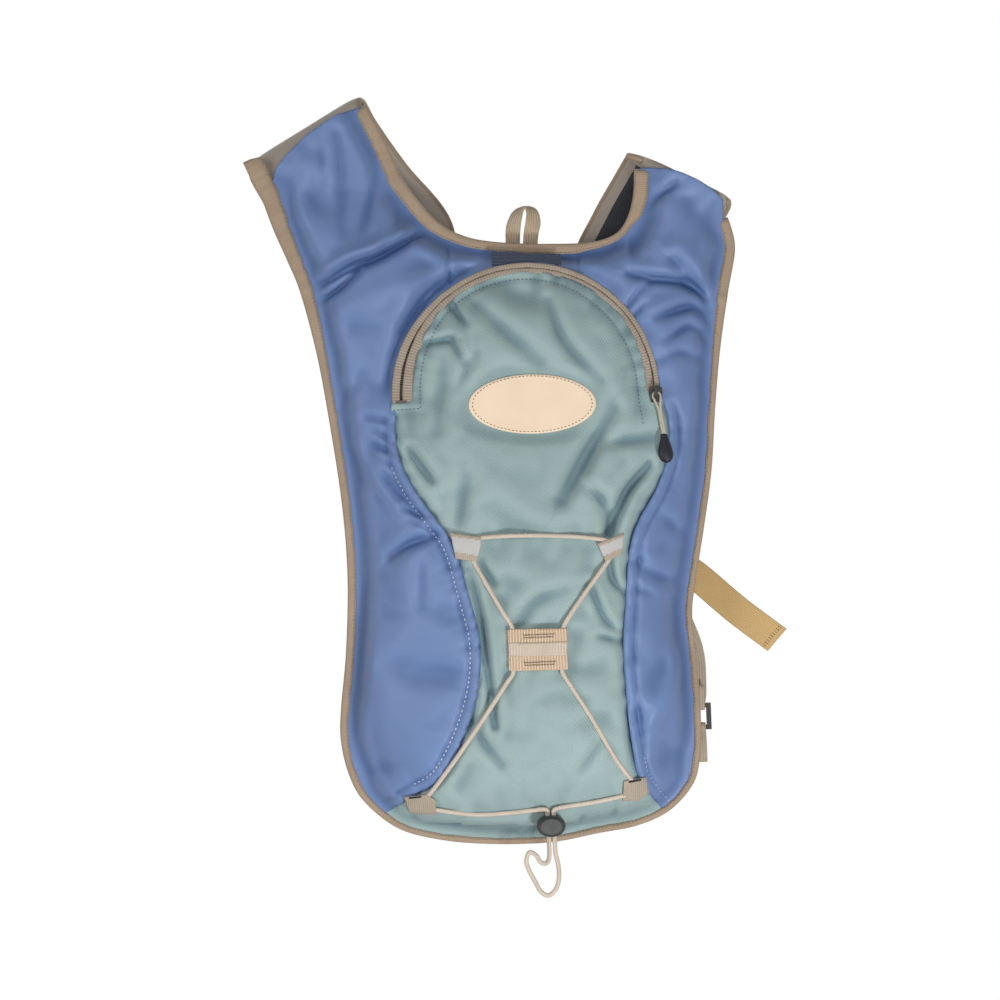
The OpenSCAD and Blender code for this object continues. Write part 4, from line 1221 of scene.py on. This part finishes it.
TAIL = [(3.8, 0, -399), (3.8, 0, -408), (3.8, 0, -417), (3.9, 0, -426),
        (5.4, 0, -434), (5.6, 0, -442), (3.4, 0, -449.4), (-1.6, 0, -453.8),
        (-6.8, -0.4, -451), (-10.4, -1, -444), (-13.8, -1.6, -437),
        (-15.6, -2.2, -430), (-13.2, -3, -424.4), (-9, -3.4, -426.6),
        (-6, -3, -431.4), (-2, -1.4, -432), (-0.2, 0, -427), (-0.2, 0, -418),
        (-0.2, 0, -408), (-0.2, 0, -399)]


class PACK_OT_cords(PackOperator, bpy.types.Operator):
    """Make the free loop below the cord lock and the laced shock cord"""
    bl_idname = "pack.cords"
    bl_label = "Shock Cord"

    def build(self, sizes, colours):
        tail = smooth([(x, LOCK_Y + y, z) for x, y, z in TAIL], 6)
        loop = tube("cord_tail_loop", tail, CORD_R, 14, finish="shock_cord",
                    replaces=["shock_cord_tail"], slot="shock_cord")
        start, end = [[(LACE[k][0], LOCK_Y, z)
                       for z in (LACE_END, LACE_END + 1)] for k in (0, -1)]
        line = [(x, -cell_height(x, z) - CORD_LIFT - lift, z)
                for x, z, lift in LACE[1:-1]]
        tube("laced_cord", smooth(start + line + end[::-1], 5), CORD_R, 14,
             finish="shock_cord", replaces=["shock_cord"],
             slot="shock_cord")


# ---- cloths ----
class PACK_OT_side_cloth(PackOperator, bpy.types.Operator):
    """Make the padded blue cloth of the sides and shoulders"""
    bl_idname = "pack.side_cloth"
    bl_label = "Side Cloth"

    def build(self, sizes, colours):
        body, neck = inset(BODY_PATH, TUCK), inset(NECK_PATH, TUCK)
        zip_edge = round_zip(np.linspace(0, 180, 121), R_OUT - 0.5)
        left, right = within(POCKET_L, body), within(POCKET_R, body)
        hole = np.concatenate([right[::-1], zip_edge, left[::-1]])
        # one ring: round the body, then back round the pocket
        ring = np.concatenate([
            body, smooth(TOP_RIGHT, 6), neck, smooth(TOP_LEFT, 6),
            body[:1]])
        low_l, low_r = closest(ring, left[0]), closest(ring, right[-1])
        ring = np.concatenate([ring[low_r:-1], ring[:low_l + 1],
                               hole[::-1]])
        settle("side_cloth", ring, side_height)
        piece = panel("side_cloth", ring, sizes.cloth_step / MM,
                      side_height, sizes.padding / MM, finish="blue_nylon",
                      replaces=["side_shell"], slot="blue_nylon")


class PACK_OT_pocket_cloth(PackOperator, bpy.types.Operator):
    """Make the twill front of the zip pocket"""
    bl_idname = "pack.pocket_cloth"
    bl_label = "Pocket Cloth"

    def build(self, sizes, colours):
        body = inset(BODY_PATH, TUCK)
        left, right = (
            within(inset(p, 3 * ease((-130 - p[:, 1:]) / 16)), body)
            for p in (POCKET_L, POCKET_R))
        low_l, low_r = closest(body, left[0]), closest(body, right[-1])
        a = np.linspace(0, 180, 121)
        top = round_zip(a, tape_reach(a)[0] + 1)
        lap = [(top[-1][0], -123.7), (-92.5, -123.7), (-93, -128)]
        ring = np.concatenate([body[low_l:low_r + 1], right[::-1], top,
                               lap, left[:-4][::-1]])
        settle("pocket_cloth", ring, pocket_height, self.grip)
        panel("pocket_cloth", ring, sizes.cloth_step / MM, pocket_height,
              sizes.pocket_cloth / MM, finish="teal_twill",
              replaces=["pocket_panel"], slot="teal_twill")
        panel("pocket_inner_cloth", ring, LINING_STEP,
              lambda x, z: pocket_height(x, z, -LINING_BACK), LINING_T,
              finish="lining_cloth", replaces=["pocket_lining"],
              slot="inner_fabric")

    def grip(self, x, z):
        """How firmly the label and the cords hold the cloth."""
        lace = np.array(LACE)[:, :2]
        return np.clip(1.3 - label_reach(x, z), 0, 1) + 0.7 * hill(
            nearest(x, z, lace)[0], 4)


BIND_FRONT = -4.6  # y of a binding's front face where it lies flat
BIND_SEW, SEW_GAP = 1.3, 2.6  # stitches: from its inner edge, and apart
BIND_STEP = 1.4
FLAT_W, BUNCH_W = 6, 5  # it bunches up as it gets wider than flat
LEAST_BUNCH = 0.15


class PACK_OT_bindings(PackOperator, bpy.types.Operator):
    """Make the folded tapes round the body and the neck"""
    bl_idname = "pack.bindings"
    bl_label = "Bindings"

    def build(self, sizes, colours):
        over = smooth([(-187, 43), (-181, 29), *LEFT_EDGE[:2]], 8)[:-8]
        body = np.concatenate([over[:-1], BODY_PATH])
        self.bind("body_binding", body, body_tape, "edge_binding", 3.6)
        self.bind("neck_tape", NECK_PATH, neck_tape, "neck_binding", 3.5)

    def bind(self, name, path, width_at, node_name, back):
        line, run = spaced(path, BIND_STEP)
        left = left_of(line)
        width = width_at(line[:, 0], line[:, 1])
        width = np.convolve(np.pad(width, 3, "edge"), np.ones(7) / 7,
                            "valid")
        bunched = np.clip((width - FLAT_W) / BUNCH_W, LEAST_BUNCH, 1)
        sections = []
        for i, p in enumerate(line):
            bunch = bunched[i]
            near = min(run[i], run[-1] - run[i])
            end = math.sqrt(max(0.02, 1 - max(0, 1 - near / 4) ** 2))
            q = tape_section(width[i] * (0.3 + 0.7 * end),
                             BIND_FRONT * end - 0.9 * bunch,
                             back * end)
            wave = noise.noise((run[i] / 7, 1.7, width[0]))
            ruck = noise.noise((run[i] / 2.6, 5.1, width[0]))
            face = q[:, 1] < 0
            q[:, 0] += 0.5 * wave * (q[:, 0] > width[i] / 2)
            q[:, 1] -= face * bunch * (0.9 * wave + 0.5 * ruck)
            # pulled in where a fold of the shoulder meets it
            pinch = math.exp(-((p[1] + 63) / 3) ** 2) * (p[0] > 0)
            q[:, 1] -= (q[:, 1] < 0) * 1.1 * pinch
            xz = p + q[:, :1] * left[i]
            sections.append(np.stack([xz[:, 0], q[:, 1], xz[:, 1]], 1))
        flat = np.stack([line[:, 0], 0 * run, line[:, 1]], 1)
        loft(name, flat, sections, finish="binding_tape",
             replaces=[node_name], slot="binding")
        at, _ = spaced(line + (width - BIND_SEW)[:, None] * left, SEW_GAP)
        deep = BIND_FRONT - 0.15 - 0.6 * np.interp(
            np.linspace(0, 1, len(at)), np.linspace(0, 1, len(width)),
            bunched)
        # no stitches on the closed ends
        pts = np.stack([at[:, 0], deep, at[:, 1]], 1)[3:-3]
        beads(name + "_stitches", pts, ways(pts), (1.9, 0.5, 0.5),
              "binding_thread", slot="binding")


TAPE_BACK, TAPE_FRONT = -1.3, 0.95  # of a zip tape's faces
TAPE_PAST = 4.6  # how far the tapes run past the half circle
COIL_GAP, COIL_BELOW = 1.3, 0.9


class PACK_OT_zip(PackOperator, bpy.types.Operator):
    """Make the zip's two tapes and the coil between them"""
    bl_idname = "pack.zip"
    bl_label = "Zip"

    def build(self, sizes, colours):
        end = math.degrees(math.asin(TAPE_PAST / ZIP_R))
        angles = np.linspace(-end, 180 + end, 300)
        reach = [np.broadcast_to(v, angles.shape)
                 for v in tape_reach(angles)]
        self.tape("outer_zip_tape", "zip_tape_outer", angles, reach[2:])
        self.tape("inner_zip_tape", "zip_tape_inner", angles, reach[:2])
        # the coil, seen down the slit between the tapes
        at, _ = spaced(round_zip(np.linspace(-2, 182, 201), ZIP_R),
                       COIL_GAP)
        pts = np.stack([at[:, 0], -(zip_plane(at[:, 1]) - COIL_BELOW),
                        at[:, 1]], 1)
        left = left_of(at)
        cross = np.stack([left[:, 0], 0 * left[:, 0], left[:, 1]], 1)
        beads("coil_teeth", pts, cross, (3.0, 0.9, 1.2), "zip_teeth",
              replaces=["zip_coil"], slot="zip_coil")

    def tape(self, name, node_name, angles, reach):
        r0, r1 = reach
        sections = []
        for i, angle in enumerate(angles):
            q = tape_section(r1[i] - r0[i], TAPE_BACK, TAPE_FRONT, 14)
            roll = 0.25 * noise.noise((i / 6, r1[0], 0.5))
            x, z = round_zip(angle, r0[i] + q[:, 0] + roll).T
            sections.append(np.stack([x, -(zip_plane(z) + q[:, 1]), z], 1))
        loft(name, np.array([s.mean(0) for s in sections]), sections,
             finish="zip_tape", replaces=[node_name], slot="zip_tape")


# the pull: its looped cord, seen from the slider, and its moulded tip
PULL_ROUTE = [(2.2, -1.6, -29), (1.7, -1.6, -20), (1.4, -1.6, -11),
              (2.2, -1.4, -5), (2.6, -0.6, -2), (1.6, 0, 0.2),
              (-1.2, 0, 0.2), (-2.4, -0.6, -2), (-1.6, -1.4, -5),
              (0, -1.6, -11), (0.3, -1.6, -20), (0.8, -1.6, -29)]
PULL_R = 0.85
TIP_NECK, TIP_R = 2.3, 5
TIP_FULL = 0.68  # how far down the tip it is fullest


class PACK_OT_zip_pull(PackOperator, bpy.types.Operator):
    """Make the corded pull that hangs from the slider"""
    bl_idname = "pack.zip_pull"
    bl_label = "Zip Pull"

    def build(self, sizes, colours):
        x, y, z = PULL_AT
        line = [(x + u + 0.1 * -w, y + v, z + w) for u, v, w in PULL_ROUTE]
        tube("pull_cord", smooth(line, 6), PULL_R, 12, finish="pull_cord",
             body="zip_pull", replaces=["zip_pull_cord"], slot="pull_cord")
        # a teardrop, slim where the cord goes in and full at its foot
        s = np.linspace(0, 1, 26)
        foot = np.sqrt(np.clip(
            1 - ((s - TIP_FULL) / (1 - TIP_FULL)) ** 2, 0, 1))
        neck = TIP_NECK + (TIP_R - TIP_NECK) * ease(s / TIP_FULL)
        half = np.where(s < TIP_FULL, neck, TIP_R * foot)
        half = np.maximum(half * np.clip(s / 0.04, 0.55, 1), 0.3)
        centre = np.stack([x + 4.0 + 0.9 * s, y - 1.9 - 2.8 * s,
                           z - 27 - 19.5 * s], 1)
        a = turns(24)
        sections = [c + np.stack([r * np.cos(a), 0.66 * r * np.sin(a),
                                  0 * a], 1) for c, r in zip(centre, half)]
        loft("pull_tip", centre, sections, finish="pull_tip",
             body="zip_pull", replaces=["zip_pull_tip"], slot="pull_tip")


# rings of the label from its middle out: share of its size, and height
LABEL_RINGS = [(0, 1.25), (0.25, 1.25), (0.5, 1.25), (0.7, 1.25),
               (0.85, 1.25), (0.93, 1.3), (0.97, 1.25), (0.99, 1.0),
               (1, 0.5), (1, -0.3), (0, -0.3)]
LABEL_SIDES = 96


class PACK_OT_label(PackOperator, bpy.types.Operator):
    """Make the bare oval label and its stitching"""
    bl_idname = "pack.label"
    bl_label = "Label"

    def build(self, sizes, colours):
        n, points, faces = LABEL_SIDES, [], []
        for share, up in LABEL_RINGS:
            x, z = self.place(share, turns(n) if share else turns(n)[:1])
            points.append(np.stack([x, -pocket_height(x, z, up), z], 1))
        last = 1 + (len(LABEL_RINGS) - 3) * n
        for k in range(n):
            q = (k + 1) % n
            faces.append((0, 1 + k, 1 + q))
            for b in range(1, last, n):
                faces.append((b + k, b + n + k, b + n + q, b + q))
            faces.append((last + k, last + n, last + q))
        make("oval_label", np.concatenate(points), faces,
             finish="label_cloth", replaces=["label_patch"], slot="label")
        ring = np.stack(self.place(0.935, np.linspace(
            0, 2 * math.pi, 160)), 1)
        stitch_row("label_stitches", ring,
                   lambda x, z: pocket_height(x, z, 1.25), 2.5, 1.6, 0.55,
                   "brown_thread", slot="label")

    def place(self, s, a):
        """Points of the turned oval at a share of its size."""
        c, t = math.cos(LABEL_TURN), math.sin(LABEL_TURN)
        u = s * LABEL_SIZE[0] * np.cos(a)
        v = s * LABEL_SIZE[1] * np.sin(a)
        return LABEL_AT[0] + u * c - v * t, LABEL_AT[1] + u * t + v * c


class PACK_OT_stitching(PackOperator, bpy.types.Operator):
    """Sew the rows of topstitching on the pocket and the sides"""
    bl_idname = "pack.stitching"
    bl_label = "Stitching"

    def build(self, sizes, colours):
        long = sizes.stitch / MM
        a = np.linspace(183, 0, 130)
        bow = round_zip(a, tape_reach(a)[0] - stitch_in(a))
        line = np.concatenate([[(-91, -128.8), (-73, -128.4)], bow,
                               [(71.6, -129), (73.4, -144)]])
        stitch_row("pocket_topstitch", line, pocket_height, 2.7,
                   long * 0.85, 0.75, "dark_thread", slot="teal_twill")
        for side, path, high, low, gap, length, width in (
                ("left", POCKET_L, -164, -378, 3.2, long, 0.8),
                ("right", POCKET_R, -366, -404, 3.0, long * 0.8, 0.5)):
            seam = inset(path, SEAM_ROW)
            keep = (seam[:, 1] < high) & (seam[:, 1] > low)
            stitch_row(f"side_topstitch_{side}", seam[keep], side_height,
                       gap, length, width, "white_thread",
                       slot="blue_nylon")


# ---- ribbons that hold the cord ----
SHEET_TABS = {
    "cord_loop_upper_left": [(-56.8, -211.2), (-36.6, -215),
                             (-37.3, -221.6), (-40.1, -231.1),
                             (-54, -228.6)],
    "cord_loop_upper_right": [(39.7, -222.5), (57.6, -216.2),
                              (56.9, -222.9), (55.3, -230.3),
                              (44.5, -234.6)],
    "cord_anchor_lower_left": [(-95, -386), (-80, -384), (-74, -388),
                               (-74, -398.6), (-92, -397)],
    "cord_anchor_lower_right": [(51, -380.6), (66, -379), (68, -390),
                                (60, -395), (50, -394)],
}
KEEPER = [(-21.6, -276), (17.4, -277), (17, -304), (-21.8, -303.4)]
BAND = [(-21.5, -285), (17.1, -285.6), (16.9, -294.6), (-21.5, -294)]
TAB_H = CORD_LIFT + CORD_R + 0.9


def outline(ring):
    """A ring of straight sides with points close together."""
    return np.concatenate([spaced([a, b], 0.8)[0][:-1]
                           for a, b in pairs(ring)])


def patch(name, ring, lift, crown, **rest):
    """A small piece of ribbon that rises over the cords, and its top."""
    mid = np.mean(ring, 0)
    size = np.abs(np.asarray(ring) - mid).max(0)

    def height(x, z):
        u = np.clip(1 - ((x - mid[0]) / size[0]) ** 4, 0, 1)
        v = np.clip(1 - ((z - mid[1]) / size[1]) ** 4, 0, 1)
        base = np.array([cell_height(p, q) for p, q in zip(x, z)])
        return base + lift + crown * u * v

    return panel(name, outline(ring), 1.0, height, lift + crown + 0.6,
                 **rest), height


class PACK_OT_tabs(PackOperator, bpy.types.Operator):
    """Make the cord loops, the lower tabs and the ribbed keeper"""
    bl_idname = "pack.tabs"
    bl_label = "Cord Tabs"

    def build(self, sizes, colours):
        for name, ring in SHEET_TABS.items():
            upper = "upper" in name
            finish, slot = (("cord_tab", "cord_tab") if upper
                            else ("anchor_ribbon", "anchor_tab"))
            piece, skin = patch(name + "_ribbon", ring, TAB_H - 1.2, 1.2,
                                finish=finish, replaces=[name], slot=slot)
            if upper:
                self.edges(piece, -0.19 if "left" in name else 0.37)
            else:
                # painted shade: dark beads stand in for the shadow inside the
                # mouth that the cord goes into
                a, b = np.array(ring[0]), np.array(ring[1])
                at = [a + (b - a) * t + (0, -0.9)
                      for t in np.linspace(0.28, 0.72, 5)]
                skin_beads(name + "_mouth_shade", at, skin, 0.1, (2.6, 1.6, 0.9),
                           "pull_tip", slot=slot)
        _, skin = patch("keeper_ribbon", KEEPER, TAB_H + 0.2, 0.5,
                        finish="keeper_ribbon", replaces=["cord_keeper"],
                        slot="keeper")

        def proud(x, z):
            return skin(x, z) + 0.45
        panel("keeper_reflector_band", outline(BAND), 1.0, proud, 0.8,
              finish="reflector_band", replaces=["keeper_reflector"],
              slot="reflector")
        # two zigzag bar tacks
        for k, z in enumerate((-281.2, -299.2)):
            x = np.arange(-11.5, 8.5, 0.9)
            zigzag = z + 0.9 * (-1.0) ** np.arange(len(x))
            skin_beads(f"keeper_tack_{k + 1}", np.stack([x, zigzag], 1),
                       proud, 0.1, (2.2, 0.5, 0.5), "brown_thread",
                       slot="keeper")

    def edges(self, piece, slope):
        """Tan selvedges above and below the tab's reflective middle."""
        mesh = piece.data
        mesh.materials.append(finish_of("anchor_ribbon"))
        mid = np.array([f.center[:] for f in mesh.polygons]) / MM
        v = mid[:, 2] - slope * (mid[:, 0] - mid[:, 0].mean())
        v -= v.mean()
        edge = (v > v.max() - 2.4) | (v < v.min() + 4.4)
        mesh.polygons.foreach_set("material_index", edge.astype(int))


class PACK_OT_haul_loop(PackOperator, bpy.types.Operator):
    """Make the webbing haul loop"""
    bl_idname = "pack.haul_loop"
    bl_label = "Haul Loop"

    def build(self, sizes, colours):
        y = 8.6
        st = [((-7.3, y, -50), (-4.7, 0, 0)), ((-7.3, y, -38), (-4.7, 0, 0)),
              ((-7.3, y, -25), (-4.7, 0, 0)),
              ((-7.2, y - 1, -13), (-5, 0, 0)),
              ((-6, y - 2, -4), (-4.9, 1.4, -0.5)),
              ((-2.8, y - 3, 3.2), (-3, 3.4, 0.6)),
              ((2.2, y - 3.6, 5.6), (0.6, 4.4, 0.8)),
              ((6.2, y - 3, 2.6), (3.4, 3.2, 1.4)),
              ((6.8, y - 2, -4.5), (5.2, 0.8, 0)),
              ((5, y - 1, -13), (5.1, 0, 0)), ((4, y, -25), (4.9, 0, 0)),
              ((3.6, y, -38), (4.8, 0, 0)), ((3.6, y, -50), (4.8, 0, 0))]
        belt("haul_loop_webbing", st, 1.0, n=28, steps=6,
             finish="loop_webbing", replaces=["haul_loop"],
             slot="loop_webbing")


# ---- harness: stations of a centre and a half width ----
STRAP_L = [((-140, 2, 46), (33, 0, 30)), ((-145, 7, 58), (37, 0, 24)),
           ((-143, 18, 63), (38, 0, 20)), ((-138, 31, 53), (40, 0, 17)),
           ((-117, 38, 27), (38, 0, 14)), ((-92, 41, -8), (42, 0, 9)),
           ((-86, 42, -52), (38, 0, 4)), ((-80, 42, -100), (35, 0, 0)),
           ((-79, 40, -150), (31, 0, 0)), ((-81, 37, -192), (24, 0, 0))]
STRAP_R = [((110, 4, 19), (28, 0, -15)), ((107, 10, 21), (33, 0, -17)),
           ((106.5, 20, 19.5), (33.5, 0, -18.5)),
           ((100.5, 32, 9.5), (35.5, 0, -16.5)),
           ((89.5, 38, -11), (39.5, 0, -13)), ((78, 41, -37), (43, 0, -8)),
           ((77, 42, -72), (40, 0, -3)), ((76, 42, -112), (34, 0, 0)),
           ((75, 40, -152), (30, 0, 0)), ((76, 37, -192), (24, 0, 0))]
STRAP_T = 4.0  # half the thickness of a padded strap
STRAP_EDGE_R, STRAP_EDGE_AT = 2.3, 0.985  # its bound edge; share of width
LOCK_LEFT, LOCK_RIGHT = (-81, 37, -203), (76, 37, -203)
RING_L, RING_R = (-119, 13, -336), (100, 13, -336)
TAIL_L = [((0, 3, -14), (9.8, 0, 0)), ((0, 5.4, -19), (9.8, 0, 0)),
          ((0, 6, -24), (9.8, 0, 0)), ((1, 4, -44), (10, 0, 0)),
          ((3, 2, -70), (10, 0, 0.4)), ((4, 0, -98), (10, 0, 0.4))]
TAIL_R = [((0, 3, -14), (9.8, 0, 0)), ((0.6, 5.4, -19), (9.8, 0, 1)),
          ((4, 6, -24), (9, 0, 5)), ((14, 4, -31), (7.4, 0, 7)),
          ((34, 1, -46), (7, 0, 7.2)), ((60, -1, -70), (6.8, 0, 7.4)),
          ((87, -3, -92), (6.8, 0, 7.4))]
WEB_T = 1.6
WEB = (10, 0, 0)
WRAP_R = 1.8 + WEB_T / 2  # of the webbing's middle round a bar


def moved(stations, c):
    """Stations with their centres moved by c."""
    return [(tuple(np.add(s[0], c)), s[1]) for s in stations]


def half_turn(c, a0, a1, w=WEB, r=WRAP_R):
    """Stations round a bar, between two angles."""
    return [((c[0], c[1] + r * math.cos(a), c[2] + r * math.sin(a)), w)
            for a in np.radians(np.linspace(a0, a1, 9))]


class PACK_OT_straps(PackOperator, bpy.types.Operator):
    """Make the padded shoulder straps with their bound edges"""
    bl_idname = "pack.straps"
    bl_label = "Shoulder Straps"

    def build(self, sizes, colours):
        for side, st, first in (("left", STRAP_L, 52),
                                ("right", STRAP_R, 14)):
            piece = belt(f"padded_strap_{side}", st, STRAP_T, n=28,
                         steps=10, power=0.5, finish="strap_nylon",
                         replaces=[f"shoulder_strap_{side}"],
                         slot="strap_face")
            c, w = tracks(st, 10)
            self.lining(side, c, w, first)
            for edge in (-1, 1):
                tube(f"strap_edge_{side}_{'ab'[edge > 0]}",
                     c + STRAP_EDGE_AT * edge * w, STRAP_EDGE_R, 10,
                     finish="binding_tape")

    def lining(self, side, c, w, first):
        """The dark mesh on the face that lies against the wearer."""
        t = ways(c)
        q = np.linspace(-0.8, 0.8, 15)[:, None]
        middle = range(first, len(c) - 3)
        sections = []
        for i in middle:
            up = square_to(t[i], w[i])
            top = c[i] + q * w[i] + (STRAP_T + 0.9 * (1 - q ** 4)) * up
            low = c[i] + q[::-1] * w[i] + 3.2 * up
            sections.append(np.concatenate([top, low]))
        loft(f"strap_mesh_{side}", c[middle], sections, finish="air_mesh",
             replaces=[f"strap_lining_{side}"], slot="air_mesh")


class PACK_OT_webbing(PackOperator, bpy.types.Operator):
    """Make the webbing of the harness and its free ends"""
    bl_idname = "pack.webbing"
    bl_label = "Webbing"

    def build(self, sizes, colours):
        for side, lock, ring, tail in (
                ("left", LOCK_LEFT, RING_L, TAIL_L),
                ("right", LOCK_RIGHT, RING_R, TAIL_R)):
            bar = (lock[0], lock[1], lock[2] - 9.6)
            wrap = half_turn(bar, 180, 0, (9.8, 0, 0))
            c, w = tracks(moved(tail, lock), 4)
            belt(f"free_webbing_{side}", wrap + list(zip(c, w)), WEB_T / 2,
                 finish="tail_webbing", body=f"ladder_{side}",
                 replaces=[f"webbing_tail_{side}"], slot="tail_webbing")
            self.hem(side, c, w)
            r = 2.3 + WEB_T / 2
            tab = moved([((0, -r, 11), WEB), ((0, -r, 5), WEB)], lock)
            tab += half_turn(lock, 180, 360, r=r)
            tab += moved([((0, r, 5), WEB), ((0, r, 10.8), WEB)], lock)
            for name, stations, node_name in (
                    ("lower_strap", self.lower(lock, ring),
                     "lower_webbing"),
                    ("strap_end_tab", tab, "strap_tab"),
                    ("ring_tab", self.anchor(ring), "anchor_tab")):
                belt(f"{name}_{side}", stations, WEB_T / 2,
                     finish="webbing", replaces=[f"{node_name}_{side}"],
                     slot="webbing")

    def hem(self, side, c, w):
        """Bar tack across the turned-up end of the free webbing."""
        out = ways(c)[-1]
        up = square_to(out, w[-1])
        front_face = up * (WEB_T / 2 + 0.05) * (1 if up[1] > 0 else -1)
        points = [c[-1] - out * 5.2 + out * s + k * w[-1] - front_face
                  for k in np.linspace(-0.8, 0.8, 9) for s in (0.0, 1.4)]
        beads(f"webbing_tack_{side}", points, out, (1.0, 0.8, 0.5),
              "brown_thread", body=f"ladder_{side}", slot="tail_webbing")

    def lower(self, c, d):
        """From the ladder lock c down to the ring d."""
        bow = 6.5 if d[0] > 0 else -1.0
        slim, across = (9.8, 0, 0), d[0] - c[0]
        st = [((c[0], c[1] - WRAP_R, c[2] - 10), slim),
              ((c[0], c[1] - 3.4 - WEB_T / 2, c[2] - 18), slim),
              ((c[0] + across * 0.3, 28, c[2] - 46), WEB),
              ((c[0] + across * 0.75 + bow, 20, c[2] - 92), WEB),
              ((d[0] + bow / 4, d[1] + WRAP_R + 0.6, d[2] + 6), WEB)]
        return [*zip(*tracks(st, 3)), *half_turn(d, 0, -180),
                *moved([((0, -WRAP_R, 7), WEB), ((0, -WRAP_R, 14), WEB)],
                       d)]

    def anchor(self, c):
        """From the body's edge round the ring's lower bar and back."""
        inner, outer = 7.6 + 1.5 * WEB_T, 7.5 + 0.5 * WEB_T
        return [((c[0], inner, c[2] - 38), WEB),
                ((c[0], inner, c[2] - 26), WEB),
                ((c[0], c[1] + 1.6, c[2] - 20), WEB),
                *half_turn((c[0], c[1], c[2] - 14.8), 0, 180),
                ((c[0], c[1] - 2.8, c[2] - 19), WEB),
                ((c[0], outer, c[2] - 24), WEB),
                ((c[0], outer, c[2] - 38), WEB)]


# ---- pieces that keep the frame's shape, by finish ----
CAD_FINISHES = {
    "back_foam": ["back_foam"],
    "air_mesh": ["back_mesh"],
    "pad_mesh": ["back_pad_left", "back_pad_right"],
    # the closure patch takes the dark finish that stands in for shade
    "hook_patch": ["closure_patch"],
    "zip_teeth": ["zip_stop"],
    "slider_metal": ["zip_slider"],
    "lock_barrel": ["cord_lock_barrel"],
    "lock_plunger": ["cord_lock_plunger"],
    "spring_wire": ["cord_lock_spring"],
    "buckle_plastic": ["ladder_lock_left", "ladder_lock_right",
                       "anchor_ring_left", "anchor_ring_right"],
    "reservoir_film": ["reservoir_bag"],
    "port_plastic": ["fill_port", "hose_port"],
    "cap_plastic": ["fill_cap"],
    "gasket_rubber": ["cap_gasket"],
    "tether_rubber": ["cap_tether"],
}


class PACK_OT_hardware(PackOperator, bpy.types.Operator):
    """Finish the moulded and metal parts that keep the frame's shape"""
    bl_idname = "pack.hardware"
    bl_label = "Hardware"

    def build(self, sizes, colours):
        for finish, names in CAD_FINISHES.items():
            for name in names:
                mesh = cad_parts[name].data
                mesh.materials.clear()
                mesh.materials.append(finish_of(finish))


class PACK_OT_finishes(PackOperator, bpy.types.Operator):
    """Mix every finish: cloths, tapes, cords, plastics and thread"""
    bl_idname = "pack.finishes"
    bl_label = "Finishes"

    def build(self, sizes, colours):
        all_finishes(colours)


STEPS = [PACK_OT_stage, PACK_OT_finishes, PACK_OT_cords,
         PACK_OT_side_cloth, PACK_OT_pocket_cloth, PACK_OT_bindings,
         PACK_OT_zip, PACK_OT_zip_pull, PACK_OT_label, PACK_OT_stitching,
         PACK_OT_tabs, PACK_OT_haul_loop, PACK_OT_straps, PACK_OT_webbing,
         PACK_OT_hardware]


class PACK_PT_maker(bpy.types.Panel):
    """Lists the pieces of the pack in the order they are made"""
    bl_idname = "PACK_PT_maker"
    bl_label = "Hydration Pack"
    bl_space_type = "VIEW_3D"
    bl_region_type = "UI"
    bl_category = "Pack"

    def draw(self, context):
        for group in (context.scene.pack_sizes, context.scene.pack_colours):
            for name in group.__annotations__:
                self.layout.prop(group, name)
        for step in STEPS:
            self.layout.operator(step.bl_idname)


CLASSES = [PackSizes, PackColours, *STEPS, PACK_PT_maker]


def register():
    for kind in CLASSES:
        bpy.utils.register_class(kind)
    bpy.types.Scene.pack_sizes = bpy.props.PointerProperty(type=PackSizes)
    bpy.types.Scene.pack_colours = bpy.props.PointerProperty(
        type=PackColours)


def unregister():
    del bpy.types.Scene.pack_sizes, bpy.types.Scene.pack_colours
    for kind in reversed(CLASSES):
        bpy.utils.unregister_class(kind)


def main():
    register()
    for step in STEPS:
        group, name = step.bl_idname.split(".")
        getattr(getattr(bpy.ops, group), name)()


if __name__ == "__main__":
    main()
